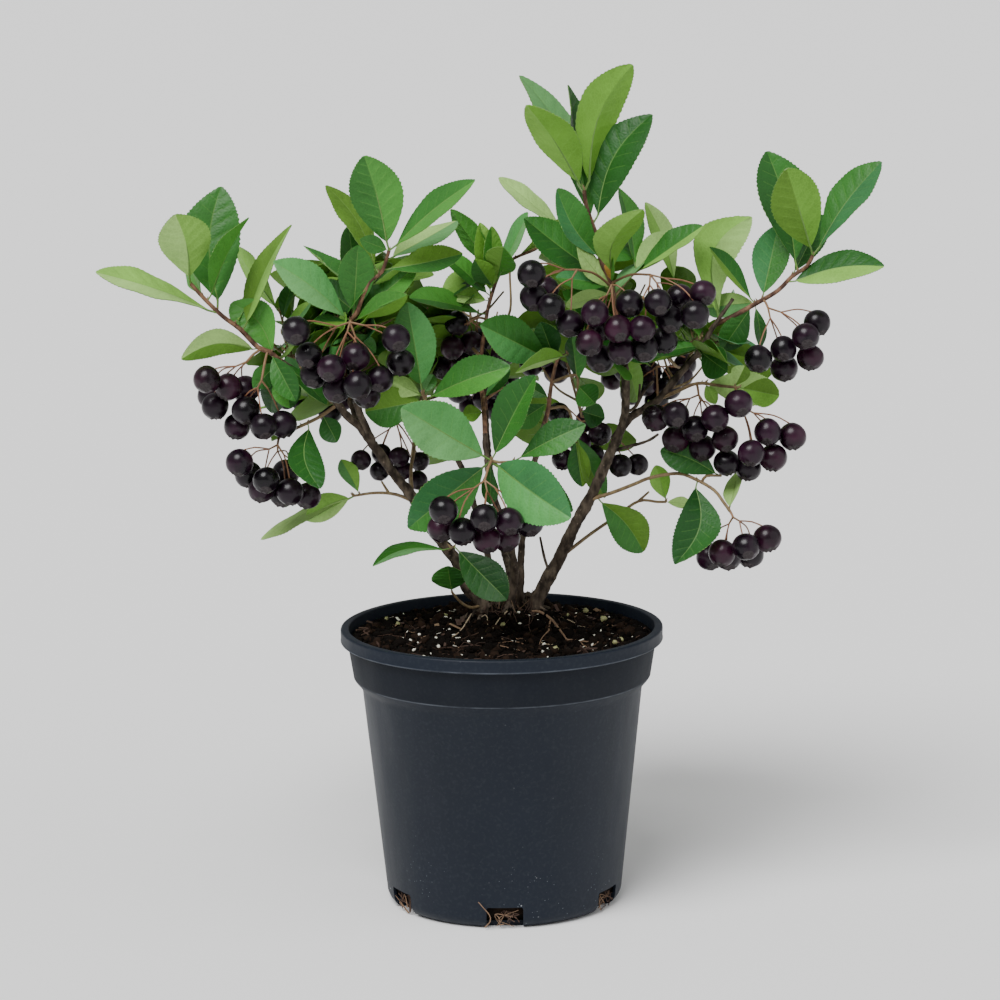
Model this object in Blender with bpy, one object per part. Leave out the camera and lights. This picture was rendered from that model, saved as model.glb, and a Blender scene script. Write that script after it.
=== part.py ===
"""Black chokeberry shrub in fruit, in its nursery pot, as closed solids.

Units in the tables are millimetres; the scene is in metres, +Z up. The origin is the middle of the pot's
flat underside, and the shrub's front is towards -Y. Places in the crown are given on an upright sheet
through the pot's axis, as (across, up, deep): the sheet is seen from EYE, and `deep` carries the place along
that line of sight, away from the eye, so that the front outline stays the same at any depth.
"""
import math

import bpy
import bmesh
from mathutils import Matrix, Vector
from mathutils.bvhtree import BVHTree

MM = 0.001
GAP = 0.3
EYE = Vector((0, -1600, 499))
UP = Vector((0, 0, 1))

# Pot
RIM_RADIUS = 85
POT_HEIGHT = 147.6
POT_WALL = 1.6
LIP_DEPTH = 7
LIP_STEP = 3.5
BAND_BOTTOM = 121.6
BAND_RADIUS = 78.5
SHOULDER_DROP = 6
SHOULDER_RADIUS = 74
FOOT_RADIUS = 62.7
CORNER_RADIUS = 7
CORNER_STEPS = 3
POT_SIDES = 30
NOTCHES = 6
NOTCH_WIDTH = 19
NOTCH_HEIGHT = 12
NOTCH_REACH = 16

# Soil
SOIL_DROP = 9
MOUND = (7, 25)
MOUND_SPREAD = 24
MOUND_RISE = 20
CROWN_LEVEL = 150
SOIL_SIDES = 30

# Twigs, leaves and fruit
LIMB_SIDES = 6
LIMB_STEP = 15
TWIG_SIDES = 3
TWIG_STEP = 14
STALK = 0.6
STALK_ROOT = 0.32
STALK_STEP = 0.06
PEDUNCLE = 0.85
BERRY = 7.1
BERRY_SPACING = 2.05
BERRY_SIDES = 5
BERRY_RINGS = 3
LEAF_FOLD = 0.22
LEAF_ROOT = 0.2
LEAF_RIDGE = 0.13
GOLDEN_ANGLE = math.radians(137.5)
NUDGES = (0, 5, -5, 10, -10)

SLATE = ("slate plastic", (0.028, 0.037, 0.045), 0.5)
PEAT = ("peat", (0.03, 0.02, 0.014), 0.95)
BARK = ("bark", (0.075, 0.048, 0.032), 0.85)
FOLIAGE = ("foliage and fruit", (0.06, 0.2, 0.035), 0.45)


def place(across, up, deep):
    """Real place, in millimetres, of a point that the sheet shows at (across, up)."""
    reach = (deep - EYE.y) / -EYE.y
    return Vector((across * reach, deep, EYE.z + (up - EYE.z) * reach))


def sheet(point):
    """Where a real place shows on the sheet."""
    reach = (point.y - EYE.y) / -EYE.y
    return Vector((point.x / reach, EYE.z + (point.z - EYE.z) / reach))


def smooth_line(points, step):
    """Points every `step` or so along a smooth curve through the given points."""
    line = []
    ends = [2 * points[0] - points[1]] + list(points) + [2 * points[-1] - points[-2]]
    for a, b, c, d in zip(ends, ends[1:], ends[2:], ends[3:]):
        parts = max(1, round((c - b).length / step))
        for part in range(parts):
            t = part / parts
            line.append(0.5 * (2 * b + (c - a) * t + (2 * a - 5 * b + 4 * c - d) * t ** 2
                               + (3 * b - a - 3 * c + d) * t ** 3))
    line.append(points[-1].copy())
    return line


def along(line, share):
    """The place at a share of a line's length."""
    lengths = [(b - a).length for a, b in zip(line, line[1:])]
    left = share * sum(lengths)
    for a, b, length in zip(line, line[1:], lengths):
        if left <= length:
            return a.lerp(b, left / length)
        left -= length
    return line[-1].copy()


def material(finish):
    name, colour, roughness = finish
    made = bpy.data.materials.get(name) or bpy.data.materials.new(name)
    made.use_nodes = True
    shader = made.node_tree.nodes["Principled BSDF"]
    shader.inputs["Base Color"].default_value = (*colour, 1)
    shader.inputs["Roughness"].default_value = roughness
    shader.inputs["Metallic"].default_value = 0
    made.diffuse_color = (*colour, 1)
    return made


def add_object(name, bm, finish):
    """Object from a bmesh that was modelled in millimetres."""
    bmesh.ops.scale(bm, vec=(MM, MM, MM), verts=bm.verts)
    bmesh.ops.recalc_face_normals(bm, faces=bm.faces)
    mesh = bpy.data.meshes.new(name)
    bm.to_mesh(mesh)
    bm.free()
    mesh.materials.append(material(finish))
    obj = bpy.data.objects.new(name, mesh)
    bpy.context.scene.collection.objects.link(obj)
    return obj


def tube(line, radii, sides, level_start=False):
    """A bmesh of one tapering round limb along a line."""
    bm = bmesh.new()
    turn = UP.rotation_difference(UP if level_start else line[1] - line[0])
    ring = bmesh.ops.create_circle(bm, cap_ends=True, radius=1, segments=sides)["verts"]
    stand = Matrix.LocRotScale(line[0], turn, Vector((radii[0], radii[0], radii[0])))
    bmesh.ops.transform(bm, matrix=stand, verts=ring)
    face = bm.faces[:][0]
    heading = UP.copy() if level_start else (line[1] - line[0]).normalized()
    for spot, (here, radius) in enumerate(zip(line[1:], radii[1:]), 1):
        ahead = line[min(spot + 1, len(line) - 1)] - line[spot - 1]
        turn = heading.rotation_difference(ahead) @ turn
        heading = ahead.normalized()
        moved = Matrix.LocRotScale(here, turn, Vector((radius, radius, radius)))
        grown = bmesh.ops.extrude_face_region(bm, geom=[face])["geom"]
        if spot > 1:
            bmesh.ops.delete(bm, geom=[face], context="FACES_ONLY")
        face = [part for part in grown if isinstance(part, bmesh.types.BMFace)][0]
        bmesh.ops.transform(bm, matrix=moved @ stand.inverted(), verts=face.verts[:])
        stand = moved
    return bm


def taper(line, start, end, flare=0.0):
    """Radii along a line: an even taper, and a root flare that dies out over the first fifth."""
    count = len(line) - 1
    return [start + (end - start) * spot / count + flare * max(0, 1 - 5 * spot / count) ** 2
            for spot in range(count + 1)]


def apply_modifiers(obj):
    depsgraph = bpy.context.evaluated_depsgraph_get()
    mesh = bpy.data.meshes.new_from_object(obj.evaluated_get(depsgraph))
    obj.modifiers.clear()
    old = obj.data
    obj.data = mesh
    bpy.data.meshes.remove(old)


def remove_object(obj):
    mesh = obj.data
    bpy.data.objects.remove(obj)
    bpy.data.meshes.remove(mesh)


def keep_one_body(obj):
    """Drops loose scraps and fills sealed hollows: only the largest shell stays."""
    bm = bmesh.new()
    bm.from_mesh(obj.data)
    unseen = set(bm.verts)
    shells = []
    while unseen:
        front = [unseen.pop()]
        shell = set(front)
        while front:
            for edge in front.pop().link_edges:
                for vert in edge.verts:
                    if vert in unseen:
                        unseen.discard(vert)
                        shell.add(vert)
                        front.append(vert)
        shells.append(shell)
    largest = max(shells, key=len)
    spare = [vert for shell in shells if shell is not largest for vert in shell]
    bmesh.ops.delete(bm, geom=spare, context="VERTS")
    bmesh.ops.triangulate(bm, faces=bm.faces)
    bm.to_mesh(obj.data)
    bm.free()
    return len(shells) - 1


def swollen(obj, amount):
    """A copy of an object that stands `amount` proud of it all round."""
    copy = obj.copy()
    copy.data = obj.data.copy()
    bpy.context.scene.collection.objects.link(copy)
    for vert, normal in zip(copy.data.vertices, [v.normal.copy() for v in obj.data.vertices]):
        vert.co += normal * amount * MM
    return copy


def clear_of(obj, neighbours):
    """Cuts an object's root back to stand just clear of the limbs that carry it."""
    cutters = [swollen(neighbour, GAP * 1.25) for neighbour in neighbours]
    for cutter in cutters:
        cut = obj.modifiers.new("clearance", "BOOLEAN")
        cut.operation = "DIFFERENCE"
        cut.object = cutter
    apply_modifiers(obj)
    for cutter in cutters:
        remove_object(cutter)
    keep_one_body(obj)


def fuse(obj, pieces):
    """Joins the pieces to the object in one union and removes them."""
    if not pieces:
        return
    collection = bpy.data.collections.new(obj.name + " pieces")
    for piece in pieces:
        collection.objects.link(piece)
    union = obj.modifiers.new("union", "BOOLEAN")
    union.operation = "UNION"
    union.operand_type = "COLLECTION"
    union.collection = collection
    union.solver = "MANIFOLD"
    apply_modifiers(obj)
    for piece in pieces:
        remove_object(piece)
    bpy.data.collections.remove(collection)
    keep_one_body(obj)


def surface(obj):
    return BVHTree.FromPolygons([v.co.copy() for v in obj.data.vertices],
                                [p.vertices[:] for p in obj.data.polygons])


def touches(piece, surfaces):
    """Whether a piece comes within the gap of any finished solid."""
    grown = swollen(piece, GAP)
    tree = surface(grown)
    remove_object(grown)
    return any(tree.overlap(other) for other in surfaces)


def inner_radius(height):
    """The pot's inner radius at a height."""
    outline = pot_outline()
    for (low_radius, low), (high_radius, high) in zip(outline, outline[1:]):
        if low <= height <= high:
            share = (height - low) / (high - low)
            return low_radius + (high_radius - low_radius) * share - POT_WALL
    return SHOULDER_RADIUS


def pot_outline():
    """Outer profile of the wall from the underside's edge up to the underside of the lip."""
    corner = []
    for step in range(CORNER_STEPS + 1):
        angle = math.pi / 2 * step / CORNER_STEPS
        corner.append((FOOT_RADIUS - CORNER_RADIUS * (1 - math.sin(angle)),
                       CORNER_RADIUS * (1 - math.cos(angle))))
    body = [(SHOULDER_RADIUS, BAND_BOTTOM - SHOULDER_DROP), (BAND_RADIUS, BAND_BOTTOM),
            (RIM_RADIUS - LIP_STEP, POT_HEIGHT - LIP_DEPTH)]
    return corner + body


def turned(profile, sides):
    """A bmesh turned round the upright axis from a profile of (radius, height)."""
    bm = bmesh.new()
    verts = [bm.verts.new((radius, 0, height)) for radius, height in profile]
    edges = [bm.edges.new(pair) for pair in zip(verts, verts[1:])]
    bmesh.ops.spin(bm, geom=verts + edges, axis=UP, cent=(0, 0, 0), angle=math.tau, steps=sides,
                   use_merge=True)
    bmesh.ops.remove_doubles(bm, verts=bm.verts, dist=0.001)
    return bm


def pot():
    outline = pot_outline()
    lip = [(RIM_RADIUS - 0.8, POT_HEIGHT - LIP_DEPTH), (RIM_RADIUS, POT_HEIGHT - LIP_DEPTH + 0.8),
           (RIM_RADIUS, POT_HEIGHT - 1), (RIM_RADIUS - 1, POT_HEIGHT),
           (RIM_RADIUS - LIP_STEP - 0.6, POT_HEIGHT)]
    inside = [(radius - POT_WALL, height) for radius, height in reversed(outline[CORNER_STEPS:])]
    floor = [(FOOT_RADIUS - CORNER_RADIUS, POT_WALL), (0, POT_WALL)]
    obj = add_object("pot", turned([(0, 0)] + outline + lip + inside + floor, POT_SIDES), SLATE)
    notches = []
    for number in range(NOTCHES):
        bm = bmesh.new()
        bmesh.ops.create_cube(bm, size=1)
        bmesh.ops.scale(bm, vec=(NOTCH_WIDTH, NOTCH_REACH, 2 * NOTCH_HEIGHT), verts=bm.verts)
        bmesh.ops.translate(bm, vec=(0, -FOOT_RADIUS, 0), verts=bm.verts)
        turn = Matrix.Rotation(math.tau * number / NOTCHES, 3, "Z")
        bmesh.ops.rotate(bm, cent=(0, 0, 0), matrix=turn, verts=bm.verts)
        notches.append(add_object("notch", bm, SLATE))
    for notch in notches:
        cut = obj.modifiers.new("notch", "BOOLEAN")
        cut.operation = "DIFFERENCE"
        cut.object = notch
    apply_modifiers(obj)
    for notch in notches:
        remove_object(notch)
    obj.data.shade_smooth()
    obj.data.set_sharp_from_angle(angle=math.radians(35))
    return obj


def soil():
    """The root ball: it fills the pot and rises to a low mound where the stems stand."""
    outline = [(radius - POT_WALL - GAP, height) for radius, height in pot_outline()[CORNER_STEPS:-1]]
    top = POT_HEIGHT - SOIL_DROP
    outline[0] = (outline[0][0], outline[0][1] + 1)
    edge = (inner_radius(top) - GAP, top)
    base = [(0, POT_WALL + GAP), (FOOT_RADIUS - CORNER_RADIUS - POT_WALL, POT_WALL + GAP)]
    rings = [(edge[0] * share, top) for share in (0.8, 0.6, 0.42, 0.22, 0)]
    bm = turned(base + outline + [edge] + rings, SOIL_SIDES)
    for vert in bm.verts:
        inward = edge[0] - Vector(vert.co[:2]).length
        if vert.co.z > top - 0.01 and inward > 1:
            away = (Vector(vert.co[:2]) - Vector(MOUND)).length
            vert.co.z = min(CROWN_LEVEL, top + MOUND_RISE * math.exp(-(away / MOUND_SPREAD) ** 2))
    return add_object("soil", bm, PEAT)


def limb(name, line, start, end, carriers=(), foot=None, flare=0.0, stubs=()):
    """One bough or stem; `foot` is where it stands on the soil, (x, y)."""
    points = [place(*spot) for spot in line]
    if foot:
        base = Vector((*foot, CROWN_LEVEL + GAP))
        points = [base, base + 3 * UP] + points
    route = smooth_line(points, LIMB_STEP)
    obj = add_object(name, tube(route, taper(route, start, end, flare), LIMB_SIDES, bool(foot)), BARK)
    if carriers:
        clear_of(obj, carriers)
    pieces = []
    for stub in stubs:
        stick = smooth_line([place(*spot) for spot in stub[1:]], TWIG_STEP)
        pieces.append(add_object("stub", tube(stick, taper(stick, stub[0], stub[0] * 0.6), TWIG_SIDES), BARK))
    fuse(obj, pieces)
    return obj


def leaf(root, tip, width, side):
    """A folded leaf blade: a double pyramid, drawn out to the leaf's outline.

    `side` is 1 where the front view shows the blade's upper face, -1 where it shows the underside, and 0
    where the blade simply faces the sky. `width` is the width that shows.
    """
    axis = tip - root
    long = axis.length
    axis.normalize()
    start = root - axis * LEAF_ROOT
    normal, broad = facing(root, tip, width, side)
    across = axis.cross(normal)
    bm = bmesh.new()
    bmesh.ops.create_uvsphere(bm, u_segments=6 if side else 4, v_segments=2, radius=1)
    for vert in bm.verts:
        x, y, z = vert.co
        if abs(z) > 0.5:
            t = LEAF_RIDGE
            half = 0
            lift = math.copysign(max(0.5, long / 100), z)
        else:
            t = 0.56 + 0.38 * y if abs(x) > 0.1 else 0.5 + 0.5 * y
            half = math.copysign(broad / 2 * (0.8 if y < -0.1 else 1), x) if abs(x) > 0.1 else 0
            lift = abs(half) * LEAF_FOLD + 0.1 * long * t * (1 - t)
        vert.co = start + axis * (t * (long + LEAF_ROOT)) + across * half + normal * lift
    return add_object("leaf", bm, FOLIAGE)


def facing(root, tip, width, side):
    """The blade's upward normal and its real width, from the width that shows."""
    axis = (tip - root).normalized()
    if side == 0:
        normal = (UP - axis * axis.z).normalized()
        return normal, width
    view = (EYE - (root + tip) / 2).normalized()
    shows = (view - axis * view.dot(axis)).normalized()
    broad = max(width, 0.42 * (tip - root).length)
    turn = math.acos(min(1, width / broad))
    edge = axis.cross(shows)
    if edge.z < 0:
        edge = -edge
    return (shows * side * math.cos(turn) + edge * math.sin(turn)).normalized(), broad


def twig(line, start, end, name="twig"):
    return add_object(name, tube(line, taper(line, start, end), TWIG_SIDES), FOLIAGE)


def berry(centre, size):
    bm = bmesh.new()
    bmesh.ops.create_uvsphere(bm, u_segments=BERRY_SIDES, v_segments=BERRY_RINGS, radius=size)
    bmesh.ops.translate(bm, vec=centre, verts=bm.verts)
    return add_object("berry", bm, FOLIAGE)


def settle(berries, deep, size):
    """Berries listed from the front: each goes back along its line of sight until it is clear."""
    settled = []
    for across, up in berries:
        back = deep
        while any((place(across, up, back) - other).length < BERRY_SPACING * size for other in settled):
            back += 1
        settled.append(place(across, up, back))
    return settled


def inside(window, point):
    """Whether a real place shows inside a window (left, right, low, high) of the sheet."""
    left, right, low, high = window
    shown = sheet(point)
    return left < shown.x < right and low < shown.y < high


def side_shoots(line, count, long, window, phase):
    """Side twigs by rule: they leave the stem a golden angle apart and bend upwards."""
    lines = []
    for number in range(count):
        start = along(line, 0.25 + 0.65 * number / count)
        turn = phase + GOLDEN_ANGLE * number
        out = Vector((math.cos(turn), math.sin(turn), 0)) * long
        end = start + out + 0.7 * long * UP
        if inside(window, end):
            lines.append(smooth_line([start, start + 0.55 * out + 0.22 * long * UP, end], TWIG_STEP))
    return lines


def spread(lines, count, long, window, phase):
    """Leaves by rule: they leave each twig a golden angle apart and reach out and up.

    One whose tip would show outside the window is skipped.
    """
    rows = []
    for twig_number, line in enumerate(lines):
        for number in range(count):
            share = 0.2 + 0.79 * (number + 0.5) / count
            turn = phase + twig_number + GOLDEN_ANGLE * number
            reach = long * (0.82 + 0.18 * math.cos(3.1 * number + phase))
            aim = Vector((math.cos(turn), math.sin(turn), 0.25 + 0.75 * share)).normalized()
            tip = along(line, share) + aim * reach
            if inside(window, tip):
                rows.append((twig_number + share, *sheet(tip), tip.y, reach * 0.46, 0))
    return rows


def growing_place(lines, share):
    """A place on the stem, for a share up to 1, or on side twig 1, 2 and so on above that."""
    if share <= 1:
        return along(lines[0], share)
    return along(lines[int(share)], share % 1)


def mass(name, carriers, route, thick, leaves=(), clusters=(), branches=(), rule=None):
    """One mass: its stem, then side twigs, leaves and fruit clusters that grow from it.

    `rule` is (side twigs, their length, leaves a twig, leaf length, window, phase).
    """
    line = smooth_line([place(*spot) for spot in route], TWIG_STEP)
    obj = twig(line, thick[0], thick[1], name)
    obj.data.materials.clear()
    obj.data.materials.append(material(FOLIAGE))
    clear_of(obj, carriers)
    others = [surface(other) for other in FINISHED]
    pieces = []
    lines = [line]
    for share, *spots in branches:
        side_line = smooth_line([along(line, share)] + [place(*spot) for spot in spots], TWIG_STEP)
        lines.append(side_line)
        pieces += clear_pieces([twig(side_line, 0.9, 0.6)], others)
    rows = list(leaves)
    if rule:
        shoots, shoot_long, count, long, window, phase = rule
        lines += side_shoots(line, shoots, shoot_long, window, phase)
        pieces += clear_pieces([twig(side_line, 0.9, 0.6) for side_line in lines[1:]], others)
        rows += spread(lines, count, long, window, phase)
    for share, across, up, deep, width, side in rows:
        root = growing_place(lines, share)
        for nudge in NUDGES:
            blade = leaf(root, place(across, up, deep + nudge), width, side)
            if not touches(blade, others):
                pieces.append(blade)
                break
            remove_object(blade)
    for share, hub, deep, size, *berries in clusters:
        root = growing_place(lines, share)
        knot = place(*hub)
        middle = root.lerp(knot, 0.5) + 0.1 * (knot - root).length * UP
        peduncle = [root, middle, knot]
        pieces += clear_pieces([twig(peduncle, STALK_ROOT, PEDUNCLE)], others)
        for number, centre in enumerate(settle(berries, deep, size)):
            fruit = berry(centre, size)
            fork = along(peduncle, 0.97 - STALK_STEP * number)
            top = centre + 0.7 * size * UP
            stalk = twig([fork, top], STALK_ROOT, STALK)
            if touches(fruit, others) or touches(stalk, others):
                remove_object(fruit)
                remove_object(stalk)
            else:
                pieces += [fruit, stalk]
    fuse(obj, pieces)
    FINISHED.append(obj)
    return obj


def clear_pieces(pieces, others):
    kept = []
    for piece in pieces:
        if touches(piece, others):
            remove_object(piece)
        else:
            kept.append(piece)
    return kept


FINISHED = []


def stems():
    """The limbs, from their flat cut on the soil to the fork or tip."""
    right = limb("right_stem", [(24, 171, 22), (31, 183.5, 21), (39.3, 201, 19), (48.4, 217.5, 17),
                                (56, 234.5, 15), (62, 247.5, 14)], 3.8, 2.5, foot=(17, 21), flare=1.2,
                 stubs=[(0.9, (60, 240, 15), (67, 242, 14), (73, 243.5, 12), (78.5, 245.5, 11),
                         (83, 248.5, 10))])
    leader = limb("leader_bough", [(61.6, 246.6, 14), (65, 257, 13), (66, 267, 10), (65.5, 284.5, 4),
                                   (64, 294, 1)], 2.4, 1.9, [right],
                  stubs=[(0.9, (66, 260, 12), (71, 263, 14), (75.5, 271, 16), (80.5, 276.5, 17))])
    right_bough = limb("right_bough", [(62.5, 250, 14), (68, 257, 15), (76, 262, 16), (84, 267.5, 15),
                                       (91, 276.5, 13), (99.3, 286, 11), (105, 292.5, 10)], 2.3, 1.7,
                       [right, leader])
    left = limb("left_stem", [(-12, 161.5, 18), (-18, 168, 16), (-23.5, 182, 12), (-30, 191, 10),
                              (-37, 201, 7), (-47, 218, 4), (-55.5, 229, 1), (-66, 245, -2)], 3.3, 2.4,
                foot=(-8, 19), flare=1.0)
    left_outer = limb("left_outer_bough", [(-65.4, 244.2, -2), (-73, 254, -3), (-78.5, 259, -4),
                                           (-85, 267.5, -5), (-92, 275.5, -6), (-103, 282, -8),
                                           (-113.5, 288.8, -10)], 2.2, 1.5, [left])
    left_inner = limb("left_inner_bough", [(-66.5, 246.5, -3), (-70, 255, -7), (-73, 262, -11),
                                           (-75, 272, -15), (-76.5, 289, -20), (-76.5, 300, -24)], 1.9, 1.4,
                      [left, left_outer])
    front = limb("front_stem", [(5.5, 165, 17), (7, 173, 14), (5.5, 188, 6), (0, 206, -4), (-5, 224, -14),
                                (-7, 240, -18), (-7.5, 250, -18)], 2.3, 1.4, foot=(5, 18), flare=0.8)
    middle = limb("middle_stem", [(10, 166, 25), (10.5, 182, 23), (12, 200, 21), (16, 225, 18),
                                  (21, 245, 16), (23.5, 255, 15)], 2.2, 1.4,
                  foot=(10.5, 27.5), flare=0.7)
    slender = limb("slender_stem", [(-2, 165, 26), (-7, 185, 22), (-12, 205, 18), (-17, 225, 14),
                                    (-22, 236, 11), (-30, 252, 5), (-35, 262, 0)], 1.9, 1.2, foot=(-1, 27.5),
                   flare=0.6)
    rear_left = limb("rear_left_stem", [(-8, 165, 40), (-20, 180, 50), (-37, 200, 62), (-47, 219, 74),
                                        (-60, 235, 84), (-72, 252, 92), (-78, 268, 98)], 2.1, 1.4,
                     foot=(3, 36), flare=0.6)
    rear_middle = limb("rear_middle_stem", [(7, 166, 48), (3, 182, 66), (-1, 202, 88), (-4, 222, 106),
                                            (-6, 242, 118), (-7, 262, 128)], 2.1, 1.4,
                       foot=(8.5, 39), flare=0.6)
    rear_right = limb("rear_right_stem", [(20, 166, 42), (30, 181, 54), (40, 201, 66), (49, 218, 78),
                                          (58, 238, 88), (64, 256, 96), (66, 272, 102)], 2.2, 1.4,
                      foot=(14, 36.5), flare=0.6)
    FINISHED.extend([right, leader, right_bough, left, left_outer, left_inner, front, middle, slender,
                     rear_left, rear_middle, rear_right])


def limbs(*names):
    return [bpy.data.objects[name] for name in names]


def left_masses():
    mass("left_tip_foliage", limbs("left_outer_bough"),
         [(-113, 288.4, -10), (-119, 294, -11), (-125, 296.5, -12), (-134, 306, -12), (-143, 313, -13),
          (-152, 322, -14), (-159, 330, -15)], (1.4, 1.0),
         [(1, -166, 366, -38, 26, -1), (0.68, -142, 380, 8, 27, 1), (0.8, -128, 364, -14, 9, -1),
          (0.66, -210, 336, -30, 10, 1), (0.42, -106, 360, 2, 8, 1), (0.22, -165, 291, -22, 10, -1),
          (0.15, -138, 318, -2, 17, 1), (0.12, -106, 268, -22, 11, 1), (0.5, -118, 335, 34, 13, 0),
          (0.85, -172, 345, 30, 16, 0)],
         [(0.2, (-131, 289, -20), -26, BERRY, (-152, 280), (-141, 276), (-148, 266), (-132, 274.5),
           (-153, 270)),
          (0.15, (-123.5, 279, -20), -26, BERRY, (-123, 255), (-132, 263.5), (-113, 256), (-137, 255))])
    mass("left_low_foliage", limbs("left_outer_bough"),
         [(-85, 265.5, -5), (-93, 260, -4), (-101, 256, -4), (-110, 252, -6), (-115, 249, -10)],
         (1.0, 0.8),
         [(0.5, -94.5, 221.5, -34, 16, 1), (0.25, -85, 246, -10, 12, 1), (0.6, -119, 247, 8, 7, -1)],
         [(1, (-116, 245, -20), -22, BERRY, (-122.5, 226.5), (-110, 220), (-136, 236), (-101, 218),
           (-127, 219.8), (-114, 217), (-134, 228), (-112, 230))])
    mass("left_back_twig", limbs("left_stem"),
         [(-44, 213.5, 5), (-54.5, 218, 10), (-65.5, 219, 14), (-77, 217.5, 17)], (1.0, 0.7),
         [(1, -102, 205, 18, 14, 1), (0.98, -126, 195, 30, 7, 1)], (),
         [(0.45, (-62, 225, 16))])
    mass("left_inner_foliage", limbs("left_inner_bough"),
         [(-76.5, 299, -23.8), (-76, 310, -27), (-73, 314, -28), (-71, 320, -29), (-66, 330, -30),
          (-60, 335, -31), (-56, 346, -33)], (1.3, 0.9),
         [(1, -68, 395, -50, 26, -1), (0.75, -88, 380, -22, 11, 1), (1, -11, 382, -44, 12, 1),
          (1, -71, 352, -44, 9, 1), (0.25, -72, 349, -32, 18, 1), (0.24, -77, 359, -10, 16, 1),
          (0.2, -116, 341, -42, 19, 1), (0.25, -41, 339, -26, 14, 1), (0.6, -33, 333, -14, 8, -1),
          (0.8, -18, 344, -28, 11, 1), (0.9, -21, 361, 8, 13, 1), (0.5, -100, 349, -8, 7, 1),
          (0.2, -96, 309, -40, 7, 1), (0.2, -47, 323, -34, 12, -1), (0.1, -64, 293, -22, 9, 1),
          (0.5, -60, 340, 12, 16, 0), (0.3, -92, 330, 10, 14, 0)],
         [(0.2, (-77, 309, -36), -56, BERRY, (-87, 285), (-53.3, 300.5), (-98.5, 292), (-73.6, 276),
           (-62, 279), (-74.4, 291), (-105, 305), (-51, 288), (-69, 271), (-84.5, 274), (-96, 282))])
    mass("left_shoulder_foliage", limbs("left_outer_bough"),
         [(-101, 281.2, -7.5), (-105, 291, 6), (-110, 303, 14), (-113, 314, 18)], (0.9, 0.7),
         [(1, -136, 349, 40, 14, -1), (0.9, -106, 330, 20, 5, 1), (0.7, -97, 320, 20, 7, 1),
          (0.3, -97, 277, 16, 9, 1)], (), (), (0, 0, 8, 42, (-140, -85, 285, 345), 1.3))


def middle_masses():
    mass("left_berry_twig", limbs("left_stem"),
         [(-46, 216.5, 4), (-46.5, 231, 14), (-44.5, 244, 22), (-48, 256, 28)], (1.0, 0.7),
         [(1, -62, 266, 32, 12, 1), (0.9, -38, 262, 34, 12, 1)],
         [(1, (-54, 257, 32), 30, 5.4, (-52.5, 238), (-62, 240), (-42, 235.5), (-72.5, 236.5), (-51, 231),
           (-63, 230.5), (-43, 225.5))])
    mass("centre_left_foliage", limbs("slender_stem"),
         [(-34.6, 261.2, 0.4), (-38, 267, -5), (-40, 272, -9)], (1.1, 0.9),
         [(1, -47, 319, -18, 22, 1), (0.7, 6, 285, -20, 18, 1), (0.6, -70, 262, 2, 21, 1),
          (0.8, -58, 279, 0, 11, -1), (0.9, -34, 281, -2, 7, 1)])
    mass("front_rosette", limbs("front_stem"),
         [(-6.6, 231, -16.5), (-5.5, 234, -28), (-4.5, 235.5, -40)], (1.2, 1.1),
         [(1, -51, 264, -66, 27, 1), (0.9, 19, 280, -44, 17, 1), (1.99, 45, 254, -48, 17, 1),
          (0.95, 37, 204.5, -76, 26, 1), (0.9, -48.5, 200, -44, 26, 1), (0.8, -5, 212, -34, 9, 1),
          (0.7, 38, 208, -36, 16, 1)],
         [(1, (-8, 225, -50), -74, BERRY, (-8.5, 205), (-29.9, 209.5), (-20, 198), (4.5, 203), (15, 202),
           (-7.3, 193.5), (3, 194), (-31.2, 199.5))],
         [(0.99, (0, 234.5, -42), (7, 235, -42))])
    mass("centre_back_foliage", limbs("front_stem"),
         [(-7.5, 249, -18), (-8, 262, -6), (-9, 275, 10), (-9, 290, 22), (-7, 305, 30), (-4, 320, 36),
          (4, 338, 42), (20, 346, 46)], (1.3, 0.8),
         [(0.12, -19, 260, -10, 9, 1), (0.2, 6, 283, -2, 7, 1), (0.62, -46, 321.5, 14, 11, 1),
          (0.75, 16, 365, 34, 11, 1), (0.78, 3, 347, 20, 17, 1), (0.72, -3, 358, 34, 9, 1),
          (0.7, -30, 345, 32, 10, 1), (0.8, -24, 367, 44, 11, -1), (0.68, -28, 324, 30, 9, 1),
          (1, 1, 383, 60, 10, -1), (0.9, 40, 362, 60, 14, 0)],
         [(0.6, (-14, 309, 20), 30, 6.3, (-21.5, 308), (-24, 295), (-14, 297.5), (-29, 302.5), (-7, 300),
           (-20, 287), (-29, 284.5), (-10, 289), (2, 291))],
         [(0.55, (5.5, 312, 20), (6.3, 334, 22))])
    mass("centre_right_foliage", limbs("middle_stem"),
         [(23.2, 253.8, 15.1), (25.5, 262, 14), (27, 273.5, 12), (29, 283, 11), (31, 289, 8), (36, 291, 8)],
         (1.3, 0.8),
         [(0.8, -9.5, 307, -20, 23, 1), (0.8, 22, 308, -2, 14, 1), (1.5, 38, 301, 6, 10, -1),
          (1.5, 50, 265, -6, 14, 1), (1.9, 55, 257, 10, 13, 1), (0.3, 7, 254, 18, 13, 1),
          (0.35, 14, 275, 20, 8, 1), (2.9, 43, 221, 24, 12, 1), (1, 9, 282, -22, 10, -1)],
         [(1.99, (46, 256, 26), 30, 6.1, (52.5, 249), (42, 244.5), (31, 260), (49, 237.5), (33, 236),
           (63, 232), (72, 232.5), (46, 256))],
         [(0.55, (40, 280, 10), (41, 270, 12), (43, 258, 18)), (0.22, (36, 262, 20), (40, 244, 24))])


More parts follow.
